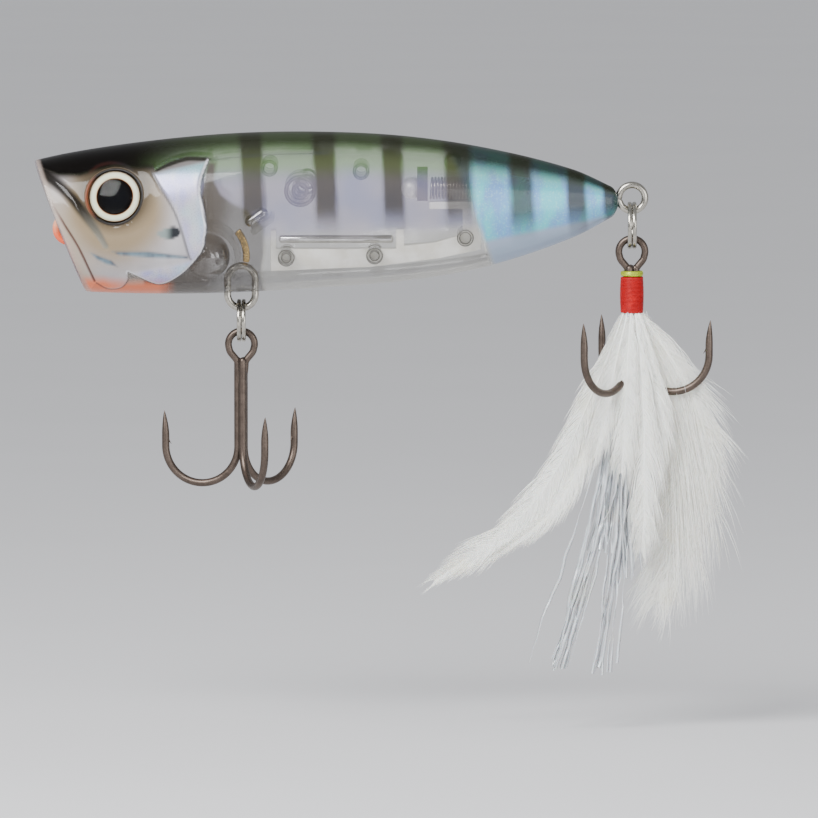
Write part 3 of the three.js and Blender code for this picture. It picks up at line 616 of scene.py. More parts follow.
# ---------------------------------------------------------------- mesh building
class Build:
    """Points and faces of one piece, in millimetres."""

    def __init__(self):
        self.points = []
        self.faces = []
        self.values = {}
        self.count = 0

    def grid(self, rows, loop=False, poles=(False, False), **values):
        """Rows of points joined by quads. A pole row is one point. Values are kept for each point."""
        rows = np.asarray(rows, float)
        high, wide = rows.shape[:2]
        index = np.arange(self.count, self.count + high * wide).reshape(high, wide)
        self.points.append(rows.reshape(-1, 3))
        for name, value in values.items():
            full = np.broadcast_to(value, (high, wide)).reshape(-1)
            self.values.setdefault(name, []).append((self.count, full))
        self.count += high * wide
        if poles[0]:
            index[0] = index[0, 0]
        if poles[1]:
            index[-1] = index[-1, 0]
        around = np.concatenate([index, index[:, :1]], axis=1) if loop else index
        self.quads(around[:-1, :-1], around[:-1, 1:], around[1:, 1:], around[1:, :-1])
        return index

    def quads(self, *corners):
        """Quads from arrays of their corners, less any doubled corner."""
        for face in np.stack([c.ravel() for c in corners], 1).tolist():
            ring = [v for i, v in enumerate(face) if v != face[i - 1]]
            if len(ring) > 2:
                self.faces.append(ring)

    def strip(self, first, second):
        """Joins two lines of points."""
        self.quads(first[:-1], first[1:], second[1:], second[:-1])

    def join_ends(self, index):
        """Joins the last row of a looped grid to its first."""
        self.strip(np.append(index[-1], index[-1, 0]), np.append(index[0], index[0, 0]))

    def cap(self, ring):
        self.faces.append(list(ring))

    def mirror(self):
        """The same piece on the other side of the middle plane."""
        other = Build()
        other.points = [p * np.array([1, -1, 1]) for p in self.points]
        other.faces, other.values, other.count = self.faces, self.values, self.count
        return other

    def mesh(self, name):
        """The mesh in metres, with its doubled and unused points gone and its faces outwards."""
        made = bpy.data.meshes.new(name)
        made.from_pydata((np.concatenate(self.points) * MM).tolist(), [], self.faces)
        for key, parts in self.values.items():
            full = np.zeros(self.count, np.float32)
            for start, part in parts:
                full[start:start + len(part)] = part
            made.attributes.new(key, "FLOAT", "POINT").data.foreach_set("value", full)
        work = bmesh.new()
        work.from_mesh(made)
        bmesh.ops.delete(work, geom=[v for v in work.verts if not v.link_faces], context="VERTS")
        bmesh.ops.recalc_face_normals(work, faces=work.faces)
        work.to_mesh(made)
        work.free()
        return made


def add_piece(name, mesh, body, slot, finish, *nodes, sharp=40):
    """A finished piece in the frame, smooth but for its sharp edges."""
    mesh.materials.clear()
    mesh.materials.append(finish)
    mesh.polygons.foreach_set("material_index", [0] * len(mesh.polygons))
    mesh.shade_smooth()
    if sharp:
        work = bmesh.new()
        work.from_mesh(mesh)
        limit = math.radians(sharp)
        for line in work.edges:
            line.smooth = len(line.link_faces) == 2 and line.calc_face_angle(0.0) < limit
        work.to_mesh(mesh)
        work.free()
    made = bpy.data.objects.new(name, mesh)
    bpy.context.scene.collection.objects.link(made)
    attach(made, body)
    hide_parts(*nodes)
    return made


def evaluated_mesh(made, name):
    """The mesh of an object with its modifiers done; the object itself goes."""
    bpy.context.view_layer.update()
    graph = bpy.context.evaluated_depsgraph_get()
    mesh = bpy.data.meshes.new_from_object(made.evaluated_get(graph))
    mesh.name = name
    old = made.data
    bpy.data.objects.remove(made)
    bpy.data.meshes.remove(old)
    return mesh


def bevelled(mesh, width, segments=3, limit=30):
    """The mesh with its sharp edges rounded."""
    made = bpy.data.objects.new(mesh.name, mesh)
    bpy.context.scene.collection.objects.link(made)
    change = made.modifiers.new("Rounded edges", "BEVEL")
    change.width, change.segments = width * MM, segments
    change.limit_method, change.angle_limit = "ANGLE", math.radians(limit)
    return evaluated_mesh(made, mesh.name)


def unit(vectors):
    return vectors / np.maximum(np.linalg.norm(vectors, axis=-1, keepdims=True), 1e-12)


def tube(build, points, radii, sides=16, closed=False, flat=(0, 1, 0)):
    """A round wire along points. `flat` is a direction that stays across the wire."""
    points = np.asarray(points, float)
    radii = np.broadcast_to(np.asarray(radii, float), len(points)).copy()
    if closed:
        along = unit(np.roll(points, -1, 0) - np.roll(points, 1, 0))
    else:
        along = unit(np.gradient(points, axis=0))
        turn = np.linspace(0, math.pi / 2, 5)[1:]
        head = points[0] - np.outer(np.sin(turn)[::-1] * radii[0], along[0])
        foot = points[-1] + np.outer(np.sin(turn) * radii[-1], along[-1])
        points = np.concatenate([head, points, foot])
        along = np.concatenate([np.repeat(along[:1], 4, 0), along, np.repeat(along[-1:], 4, 0)])
        radii = np.concatenate([np.cos(turn)[::-1] * radii[0], radii, np.cos(turn) * radii[-1]])
    across = unit(np.cross(along, np.asarray(flat, float)))
    third = unit(np.cross(across, along))
    angle = np.arange(sides) / sides * 2 * math.pi
    rows = points[:, None] + radii[:, None, None] * (
        np.cos(angle)[None, :, None] * across[:, None] + np.sin(angle)[None, :, None] * third[:, None]
    )
    index = build.grid(rows, loop=True, poles=(not closed, not closed))
    if closed:
        build.join_ends(index)


def turned(build, profile, at, axis, around=48, ring=False, **values):
    """A turned form: profile of radius, height about an axis. Values go by row, and a ring's ends join."""
    axis = np.array(Vector(axis).normalized())
    side = np.array(Vector(axis).orthogonal().normalized())
    other = np.cross(axis, side)
    angle = np.arange(around) / around * 2 * math.pi
    profile = np.asarray(profile, float)
    round_way = np.cos(angle)[:, None] * side + np.sin(angle)[:, None] * other
    rows = np.asarray(at) + profile[:, :1, None] * round_way[None] + (profile[:, 1:2] * axis)[:, None]
    values = {name: np.asarray(value, float)[:, None] for name, value in values.items()}
    index = build.grid(rows, loop=True, poles=(not ring, not ring), **values)
    if ring:
        build.join_ends(index)


def plate(build, outline, low, high, axis="y"):
    """A flat outline given a thickness from low to high across it."""
    flat = np.asarray(outline, float)
    order = {"y": (0, 2, 1), "x": (1, 2, 0)}[axis]
    rows = np.zeros((2, len(flat), 3))
    for i, level in enumerate((low, high)):
        rows[i, :, order[0]] = flat[:, 0]
        rows[i, :, order[1]] = flat[:, 1]
        rows[i, :, order[2]] = level
    index = build.grid(rows, loop=True)
    build.cap(index[0])
    build.cap(index[1][::-1])


def ball(build, at, radius, around=40):
    turn = np.linspace(-math.pi / 2, math.pi / 2, around // 2 + 1)
    profile = np.stack([np.cos(turn) * radius, np.sin(turn) * radius], 1)
    profile[[0, -1], 0] = 0
    turned(build, profile, at, (0, 0, 1), around)


def capsule(build, start, end, radius, around=32, shoulder=1.0):
    """A rod with rounded ends between two points."""
    start, end = np.asarray(start, float), np.asarray(end, float)
    length = np.linalg.norm(end - start)
    turn = np.linspace(0, math.pi / 2, 8)
    low = [(math.sin(t) * radius, radius * shoulder * (1 - math.cos(t))) for t in turn]
    high = [(r, length - h) for r, h in reversed(low)]
    turned(build, low + high, start, (end - start) / length, around)


def arc(x, z, radius, start, end, count):
    turn = np.radians(np.linspace(start, end, count + 1))
    return np.stack([x + radius * np.cos(turn), z + radius * np.sin(turn)], 1)


def upright(x, z):
    """Points x, z of the middle plane."""
    return np.stack([x, 0 * x, z], 1)


def spline(points, steps=10):
    """A smooth line through points."""
    p = np.asarray(points, float)
    p = np.concatenate([2 * p[:1] - p[1:2], p, 2 * p[-1:] - p[-2:-1]])
    t = np.linspace(0, 1, steps, endpoint=False)[:, None]
    parts = []
    for a, b, c, d in zip(p, p[1:], p[2:], p[3:]):
        curve = (2 * a - 5 * b + 4 * c - d) * t**2 + (3 * b - a - 3 * c + d) * t**3
        parts.append(0.5 * (2 * b + (c - a) * t + curve))
    return np.concatenate(parts + [p[-2:-1]])


def smooth(value, low, high):
    t = np.clip((value - low) / (high - low), 0, 1)
    return t * t * (3 - 2 * t)


def distance(line, x, z):
    """Least distance from the points x, z to a line of points."""
    best = np.full(np.shape(x), 1e9)
    for (ax, az), (bx, bz) in zip(line[:-1], line[1:]):
        dx, dz = bx - ax, bz - az
        t = np.clip(((x - ax) * dx + (z - az) * dz) / (dx * dx + dz * dz + 1e-12), 0, 1)
        best = np.minimum(best, np.hypot(x - ax - t * dx, z - az - t * dz))
    return best


def signed(outline, x, z):
    """Distance to a closed outline, positive inside it."""
    ring = np.concatenate([outline, outline[:1]])
    within = np.zeros(np.shape(x), bool)
    for (ax, az), (bx, bz) in zip(ring[:-1], ring[1:]):
        crosses = (az > z) != (bz > z)
        with np.errstate(divide="ignore", invalid="ignore"):
            within ^= crosses & (x < (bx - ax) * (z - az) / (bz - az) + ax)
    return distance(ring, x, z) * np.where(within, 1, -1)


# ---------------------------------------------------------------- body form
def station(x, column):
    """Smooth value of one station column at x."""
    x = np.asarray(x, float)
    knots = STATIONS[:, 0]
    i = np.clip(np.searchsorted(knots, x, side="right") - 1, 0, len(knots) - 2)
    p, q = STATIONS[i], STATIONS[i + 1]
    before, after = STATIONS[np.maximum(i - 1, 0)], STATIONS[np.minimum(i + 2, len(knots) - 1)]
    span = q[..., 0] - p[..., 0]
    slope_in = (q[..., column] - before[..., column]) / (q[..., 0] - before[..., 0]) * span
    slope_out = (after[..., column] - p[..., column]) / (after[..., 0] - p[..., 0]) * span
    t = (x - p[..., 0]) / span
    return (
        p[..., column] * (2 * t**3 - 3 * t**2 + 1) + slope_in * (t**3 - 2 * t**2 + t)
        + q[..., column] * (3 * t**2 - 2 * t**3) + slope_out * (t**3 - t**2)
    )


def body_point(x, angle, inset=0.0):
    """A point of the body's skin; angle 90 degrees is the back and -90 the belly."""
    top, bottom, wide = station(x, 1), station(x, 2), station(x, 3)
    power = 2 / SECTION_POWER
    c, s = np.cos(angle), np.sin(angle)
    y = np.abs(c) ** power * (wide - inset)
    z = (top + bottom) / 2 + np.sign(s) * np.abs(s) ** power * ((top - bottom) / 2 - inset)
    return np.stack(np.broadcast_arrays(x, y, z), -1)


def side_reach(x, z, inset=0.0):
    """Half width of the body at x, z."""
    top, bottom, wide = station(x, 1), station(x, 2), station(x, 3)
    rel = np.clip(np.abs(z - (top + bottom) / 2) / ((top - bottom) / 2 - inset), 0, 0.999)
    return (wide - inset) * (1 - rel**SECTION_POWER) ** (1 / SECTION_POWER)


def front_x(angle, inset=0.0, depth=0.0):
    """Where the body's skin meets a plane `depth` behind the mouth plane."""
    offset = INWARD[0] * MOUTH[0] + INWARD[2] * MOUTH[1] + depth
    x = np.zeros_like(angle)
    for _ in range(25):
        x = (offset - INWARD[2] * body_point(x, angle, inset)[..., 2]) / INWARD[0]
    return x


def eye_frame():
    """Centre of the right eye and its outward, first and second directions."""
    at = np.array([EYE_X, side_reach(EYE_X, EYE_Z), EYE_Z])
    lean, yaw = math.radians(EYE_LEAN), math.radians(EYE_YAW)
    out = unit(np.array([-math.sin(yaw), math.cos(lean), math.sin(lean)]))
    first = unit(np.cross(out, np.array([0.0, 0.0, 1.0])))
    return at, out, first, np.cross(first, out)


def head_marks(x, z):
    """Masks and relief of the head at the points x, z."""
    groove = distance(spline(GROOVE), x, z)
    fold_line = distance(spline(JAW_FOLD), x, z)
    gill_line = spline(GILL_EDGE)
    chin_line = spline(CHIN_EDGE)
    crown = spline(GILL_CROWN)
    gill_area = np.concatenate([gill_line[:-1], spline(GILL_BAR)[::-1]])
    top_edge = [(16.8, 8.8), (14.1, 8.9), (11.9, 8.2), (10.3, 7.3)]
    front_edge = [(1.5, -9), (-9, -9), (-9, 13), (9, 13)]
    head_area = np.concatenate([gill_line, chin_line[1:], front_edge, top_edge[::-1]])
    inside_head = signed(head_area, x, z)
    inside_gill = signed(gill_area, x, z)
    rear = distance(gill_line, x, z)
    bar = distance(spline(GILL_BAR), x, z)
    chin = distance(chin_line, x, z)
    brow = distance(spline(BROW), x, z)
    dash = np.maximum.reduce([signed(np.array(d), x, z) for d in DASHES])
    mark = signed(spline(GILL_MARK), x, z)
    edge_z = np.interp(x, *np.array(BACK_EDGE).T)
    crown_in = signed(crown, x, z)
    far = distance(spline(BACK_LINE), x, z)
    throat = signed(np.array(THROAT), x, z)
    half = 0.36 + 0.42 * smooth(z, -2.2, 3.0)
    outside = 1 - smooth(inside_head, -0.02, 0.12)
    marks = {
        "head": smooth(inside_head, -0.08, 0.1) * np.where(x < 11.5, 1 - smooth(z - edge_z, 0.1, 0.9), 1),
        "gill": smooth(inside_gill, -0.1, 0.5) * 0.95,
        # mask of the painted shade along the jaw fold
        "fold": 1 - smooth(fold_line, half * 0.35, half * 1.25),
        "line": np.maximum.reduce([
            1 - smooth(groove, 0.05, 0.22), (1 - smooth(bar, 0.04, 0.2)) * 0.75,
            # painted shade just outside the raised gill and chin edges
            (1 - smooth(rear, 0.02, 0.22)) * outside, (1 - smooth(chin, 0.02, 0.18)) * outside,
            (1 - smooth(far, 0.05, 0.2)) * 0.7, (1 - smooth(brow, 0.05, 0.3)) * 0.3,
        ]),
        "blue": smooth(dash, -0.12, 0.22),
        "mark": smooth(mark, -0.08, 0.12),
        # mask of the painted highlight along the gill's rear edge
        "edge": (1 - smooth(rear, 0.08, 0.34)) * smooth(inside_head, 0.0, 0.12),
        "back": np.maximum(
            smooth(z - edge_z, -0.4 - 0.5 * smooth(x, 5, 9), 0.45) * (1 - smooth(x, 7.5, 21)),
            smooth(crown_in, -0.15, 0.1) * 0.92,
        ),
        "throat": smooth(throat, -0.3, 0.3) * outside,
    }
    low_enough = 1 - smooth(z - edge_z, -0.3, 0.5)
    clear_of_eye = smooth(np.hypot(x - EYE_X, z - EYE_Z), 3.8, 4.8)
    relief = 0.17 * smooth(inside_head, -0.02, 0.22) * smooth(x, 2.5, 8.0) * np.where(x < 11.5, low_enough, 1)
    relief += 0.07 * smooth(inside_gill, -0.1, 0.35)
    relief -= 0.24 * (1 - smooth(fold_line, 0.0, half * 1.3))
    relief -= 0.13 * (1 - smooth(groove, 0.0, 0.24))
    relief -= 0.1 * (1 - smooth(bar, 0.0, 0.2))
    relief -= 0.12 * smooth(crown_in, -0.1, 0.3)
    relief -= 0.12 * smooth(dash, -0.1, 0.3)
    relief += 0.14 * (1 - smooth(brow, 0.0, 0.45))
    return marks, relief * clear_of_eye


def row_shares(count):
    """Shares from 1 to 0, closer together towards the mouth."""
    turn = np.linspace(0, 1, count)[::-1, None]
    return 0.45 * turn + 0.55 * turn**2


def draw_in(points, share):
    """Draws body points in towards the body's middle line, and gives the height of that line."""
    middle = (station(points[..., 0], 1) + station(points[..., 0], 2)) / 2
    points[..., 1] *= share
    points[..., 2] = middle + (points[..., 2] - middle) * share
    return middle


def half_shell(wall, strength):
    """The right half of the body: painted skin, rolled lip, mouth bowl, inner skin and weld faces."""
    columns, body_rows, cap_rows, inner_columns = 120, 330, 8, 40
    angle = math.pi / 2 - np.linspace(0, math.pi, columns)
    lip = front_x(angle)
    cap_turn = np.linspace(math.pi / 2, 0, cap_rows + 1)[:-1, None]
    cap_x = BODY_REAR - TAIL_ROUND + TAIL_ROUND * np.sin(cap_turn) + 0 * angle
    start = lip + LIP_ROUND
    main_x = start + (BODY_REAR - TAIL_ROUND - start) * row_shares(body_rows)
    skin = np.concatenate([body_point(cap_x, angle), body_point(main_x, angle)])
    middle = draw_in(skin, np.concatenate([np.cos(cap_turn), np.ones((body_rows, 1))]))
    x, z = skin[..., 0].copy(), skin[..., 2].copy()
    marks, relief = head_marks(x, z)
    marks["rise"] = (z - middle) / ((station(x, 1) - station(x, 2)) / 2)
    marks["rim"] = 1 - smooth((x - lip) * INWARD[0], 0.35, 0.85)
    across = np.cross(np.gradient(skin, axis=0), np.gradient(skin, axis=1))
    normal = unit(across) * np.where(across[..., 1:2] < 0, -1, 1)
    near_seam = smooth(skin[..., 1], 0.2, 1.6)
    relief = relief * strength * near_seam * smooth((x - lip), 0.2, 0.9)
    skin = skin + normal * relief[..., None]
    at, out, _, _ = eye_frame()
    offset = skin - at
    height = offset @ out
    spread = np.linalg.norm(offset - height[..., None] * out, axis=-1)
    sunk = (1 - smooth(spread, EYE_RADIUS + 0.12, EYE_RADIUS + 0.4)) * (skin[..., 1] > 2)
    skin = skin + out * (sunk * (np.minimum(height, -EYE_SINK) - height))[..., None]

    edge = body_point(lip, angle)
    centre = np.array([MOUTH[0], 0, MOUTH[1]])
    rim_in = centre + np.sin(angle)[:, None] * CUP_HIGH * UPWARD
    rim_in = rim_in + np.cos(angle)[:, None] * np.array([0, CUP_WIDE, 0])
    inward = unit(rim_in - edge)
    back_way = unit(body_point(lip + LIP_ROUND, angle) - edge)
    bend = np.linspace(0, math.pi / 2, 7)[1:, None, None]
    roll = edge + LIP_ROUND * (back_way * (1 - np.sin(bend)) + inward * (1 - np.cos(bend)))
    rim_out = rim_in - inward * BOWL_ROUND
    bend = np.linspace(0, math.pi / 2, 6)[:, None, None]
    inner_roll = rim_out + BOWL_ROUND * (inward * np.sin(bend) + INWARD * (1 - np.cos(bend)))
    sweep = np.linspace(math.pi / 2, 0, 28)[1:, None, None]
    bowl = centre + np.sin(sweep) ** 0.8 * (rim_in - centre)
    bowl = bowl + INWARD * (BOWL_ROUND + (CUP_DEPTH - BOWL_ROUND) * np.cos(sweep))
    front = np.concatenate([roll, inner_roll, bowl])
    outer = np.concatenate([skin, front])
    outer[..., 1] += SEAM_LINE

    angle_in = math.pi / 2 - np.linspace(0, math.pi, inner_columns)
    depth = np.full(inner_columns, 3.5)
    bowl_wall = wall - 0.15
    for _ in range(40):
        found = body_point(front_x(angle_in, wall, depth), angle_in, wall) - centre
        rel = np.hypot(found[:, 1] / (CUP_WIDE + bowl_wall), (found @ UPWARD) / (CUP_HIGH + bowl_wall))
        aim = (CUP_DEPTH + bowl_wall) * np.sqrt(np.clip(1 - rel**2.5, 0.02, 1))
        depth = depth * 0.6 + aim * 0.4
    stop = front_x(angle_in, wall, depth)
    inner_x = stop + (CAVITY_REAR - stop) * row_shares(len(skin))
    inner = body_point(inner_x, angle_in, wall)
    draw_in(inner, np.sqrt(np.clip(1 - ((inner_x - (CAVITY_REAR - 1.5)) / 1.5).clip(0, 1) ** 2, 0, 1)))
    lip_rows = len(front) - len(bowl)
    shrink = np.concatenate([np.linspace(1, 0.98, lip_rows + 1)[1:, None], 0.98 * np.sin(sweep[:, 0]) ** 0.8])
    deep = (CUP_DEPTH + bowl_wall) * np.sqrt(np.clip(1 - (rel * shrink) ** 2.5, 0, 1))
    back_wall = (
        centre + (found[:, 1] * shrink)[..., None] * np.array([0, 1, 0])
        + ((found @ UPWARD) * shrink)[..., None] * UPWARD + deep[..., None] * INWARD
    )
    inner = np.concatenate([inner, back_wall])
    inner[..., 1] += SEAM_LINE

    build = Build()
    zeros = np.zeros((len(front), columns))
    values = {name: np.concatenate([mask, zeros]) for name, mask in marks.items()}
    values["rim"][len(skin):len(skin) + 9] = 1
    values["cup"] = np.zeros(outer.shape[:2])
    values["cup"][len(skin) + 8:] = 1
    outside = build.grid(outer, poles=(True, True), inside=0.0, **values)
    within = build.grid(inner, poles=(True, True), inside=1.0)
    build.strip(outside[:, 0], within[:, 0])
    build.strip(outside[:, -1], within[:, -1])
    return build


# ---------------------------------------------------------------- wires, rings and hooks
def eyed_wire(build, spec, radius, sides):
    """A ring, a straight shank and an anchor loop bent from one wire."""
    (x, z), (ax, az) = spec["at"], spec["anchor"]
    way = math.degrees(math.atan2(az - z, ax - x))
    ring = arc(x, z, spec["ring"], way + 352, way + 6, 60)
    loop = arc(ax, az, spec["loop"], way + 180, way + 180 - 330, 40)
    lead = np.linspace(ring[-1], loop[0], 12)[1:-1]
    tube(build, upright(*np.concatenate([ring, lead, loop]).T), radius, sides)


def hanger_wire(build, sides):
    """A closed oval link, its lower half under the belly."""
    x, z, ring, rise = (HANGER[k] for k in ("x", "z", "ring", "rise"))
    low = arc(x, z, ring, 180, 360, 30)
    high = arc(x, z + rise, ring, 0, 180, 30)
    side = np.linspace(low[-1], high[0], 6)[1:-1]
    other = np.linspace(high[-1], low[0], 6)[1:-1]
    tube(build, upright(*np.concatenate([low, side, high, other]).T), WIRE, sides, closed=True)


def split_ring(build, x, z, inner):
    """Two turns of flattened wire side by side, with the cut ends rounded."""
    u = np.linspace(0, 1, 190)
    angle = (u * RING_TURNS + 0.35) * 2 * math.pi
    along = RING_STEP / 2 * np.clip((u - 0.5) / RING_CROSS, -1, 1)
    radial = np.stack([0 * angle, np.sin(angle), np.cos(angle)], 1)
    mean = inner + RING_THICK / 2
    centre = np.stack([x + along, mean * np.sin(angle), z + mean * np.cos(angle)], 1)
    turn = np.arange(16) / 16 * 2 * math.pi
    c, s = [np.sign(f) * np.abs(f) ** 0.7 for f in (np.cos(turn), np.sin(turn))]
    end = np.sqrt(np.clip(1 - (1 - np.minimum(u, 1 - u) / 0.012).clip(0, 1) ** 2, 0, 1))
    thick = RING_THICK / 2 * s[None, :, None] * radial[:, None]
    wide = RING_WIDE / 2 * c[None, :, None] * np.array([1.0, 0, 0])
    build.grid(centre[:, None] + end[:, None, None] * (thick + wide), loop=True, poles=(True, True))


def seat_depth(hole):
    """How deep a split ring's section sits in a round hole."""
    half = (RING_WIDE + RING_STEP) / 2
    return math.sqrt(hole * hole - half * half) - SLACK


def ring_places():
    """Heights of the split rings' centres and of the hooks' tops."""
    belly = HANGER["z"] - seat_depth(HANGER["ring"] - WIRE) - BELLY_RING_INNER
    tail = TAIL_EYE["at"][1] - seat_depth(TAIL_EYE["ring"] - WIRE) - TAIL_RING_INNER
    corner = math.hypot((RING_WIDE + RING_STEP) / 2, RING_THICK / 2)
    hole = HOOK_EYE - HOOK_WIRE
    tops = [
        centre - inner - RING_THICK / 2 - (hole - corner - SLACK) + HOOK_EYE + HOOK_WIRE
        for centre, inner in ((belly, BELLY_RING_INNER), (tail, TAIL_RING_INNER))
    ]
    return belly, tail, tops[0], tops[1]


def treble(build, x, top, angles, sides):
    """Three barbed hooks brazed along one shank under a wire eye."""
    eye_z = top - HOOK_WIRE - HOOK_EYE
    bottom = top - HOOK_LENGTH + HOOK_WIRE
    bend = (HOOK_REACH - HOOK_SHANK) / 2
    bend_z = bottom + bend
    t = np.linspace(-1, 1, 121)
    share, wrap = 0.56, math.pi * 0.62
    lap = np.clip(np.abs(t) / share, 0, 1) * wrap
    fall = np.clip((np.abs(t) - share) / (1 - share), 0, 1)
    ease = fall * fall * (3 - 2 * fall)
    side = np.sign(t)
    from_x, from_z = HOOK_EYE * math.sin(wrap), HOOK_EYE * math.cos(wrap)
    eye_x = np.where(fall > 0, side * (from_x + (HOOK_SHANK - from_x) * ease), side * HOOK_EYE * np.sin(lap))
    eye_h = np.where(fall > 0, from_z + (-HOOK_NECK - from_z) * fall, HOOK_EYE * np.cos(lap))
    tail_end = np.linspace(0, 2.2, 12)[1:]
    end_x = HOOK_SHANK - 0.18 * smooth(tail_end, 0, 2.2)
    eye_x = np.concatenate([-end_x[::-1], eye_x, end_x])
    eye_h = np.concatenate([-HOOK_NECK - tail_end[::-1], eye_h, -HOOK_NECK - tail_end])
    tube(build, upright(x + eye_x, eye_z + eye_h), HOOK_WIRE, sides)
    capsule(build, (x, 0, eye_z - HOOK_NECK - 0.2), (x, 0, bend_z - 0.6), HOOK_WIRE * 0.9, 20)
    up = HOOK_RISE - bend - HOOK_WIRE
    turn = np.linspace(0, math.pi, 49)
    shank = np.linspace(eye_z - HOOK_NECK + 0.3, bend_z, 16)[:-1]
    rise = np.linspace(bend_z, bend_z + up, 40)[1:]
    swing = HOOK_SHANK + bend - bend * np.cos(turn)
    flat_x = np.concatenate([0 * shank + HOOK_SHANK, swing, 0 * rise + HOOK_REACH])
    flat_z = np.concatenate([shank, bend_z - bend * np.sin(turn), rise])
    left = bend_z + up - flat_z
    spear = np.where(flat_x > HOOK_REACH - 0.01, np.clip(left / 3.1, 0, 1), 1)
    radius = HOOK_BEND * (0.05 + 0.95 * np.sin(spear * math.pi / 2) ** 0.85)
    lean = np.where(flat_x > HOOK_REACH - 0.01, 0.16 * (1 - spear) ** 1.5, 0)
    for degrees in angles:
        c, s = math.cos(math.radians(degrees)), math.sin(math.radians(degrees))
        reach = flat_x + lean
        tube(build, np.stack([x + reach * c, reach * s, flat_z], 1), radius, sides, flat=(-s, c, 0))
        foot, tip = bend_z + up - 2.9, bend_z + up - 3.95
        slope = np.linspace(0, 1, 10)
        thorn = HOOK_REACH - HOOK_WIRE * 0.35 - 0.52 * slope**1.3
        barb = np.stack([x + thorn * c, thorn * s, foot + (tip - foot) * slope], 1)
        tube(build, barb, 0.17 * (1 - slope * 0.85), 10, flat=(-s, c, 0))


# ---------------------------------------------------------------- geometry node groups
def new_group(name, sockets):
    """A geometry group with named inputs, and the node that gives them."""
    group = bpy.data.node_groups.new(name, "GeometryNodeTree")
    group.interface.new_socket("Geometry", in_out="OUTPUT", socket_type="NodeSocketGeometry")
    group.interface.new_socket("Geometry", in_out="INPUT", socket_type="NodeSocketGeometry")
    for label, kind in sockets:
        group.interface.new_socket(label, in_out="INPUT", socket_type=f"NodeSocket{kind}")
    tree = Tree(group)
    return group, tree, tree.node("NodeGroupInput")


def end_group(tree, shape, material):
    """Realize the instances, set the material and end the group."""
    real = tree.node("GeometryNodeRealizeInstances", {}, {0: shape})
    done = tree.node("GeometryNodeSetMaterial", {}, {0: real, "Material": material})
    tree.node("NodeGroupOutput", {}, {0: done})


def run_group(group, mesh, name, settings):
    """The mesh that a group makes of another mesh, with its inputs set."""
    made = bpy.data.objects.new(name, mesh)
    bpy.context.scene.collection.objects.link(made)
    change = made.modifiers.new(group.name, "NODES")
    change.node_group = group
    for item in group.interface.items_tree:
        if item.in_out == "INPUT" and item.name in settings:
            change[item.identifier] = settings[item.name]
    return evaluated_mesh(made, name)


def coil_group():
    """Wire wound in even turns along Z."""
    group, tree, given = new_group("Coil", [
        ("Turns", "Float"), ("Radius", "Float"), ("Length", "Float"), ("Wire", "Float"),
        ("Material", "Material"),
    ])
    path = tree.node("GeometryNodeCurveSpiral", {}, {
        "Resolution": 36, "Rotations": given.other("Turns"), "Start Radius": given.other("Radius"),
        "End Radius": given.other("Radius"), "Height": given.other("Length"),
    })
    section = tree.circle(8, given.other("Wire"))
    wound = tree.node("GeometryNodeCurveToMesh", {}, {0: path, 1: section, "Fill Caps": True})
    end_group(tree, wound, given.other("Material"))
    return group


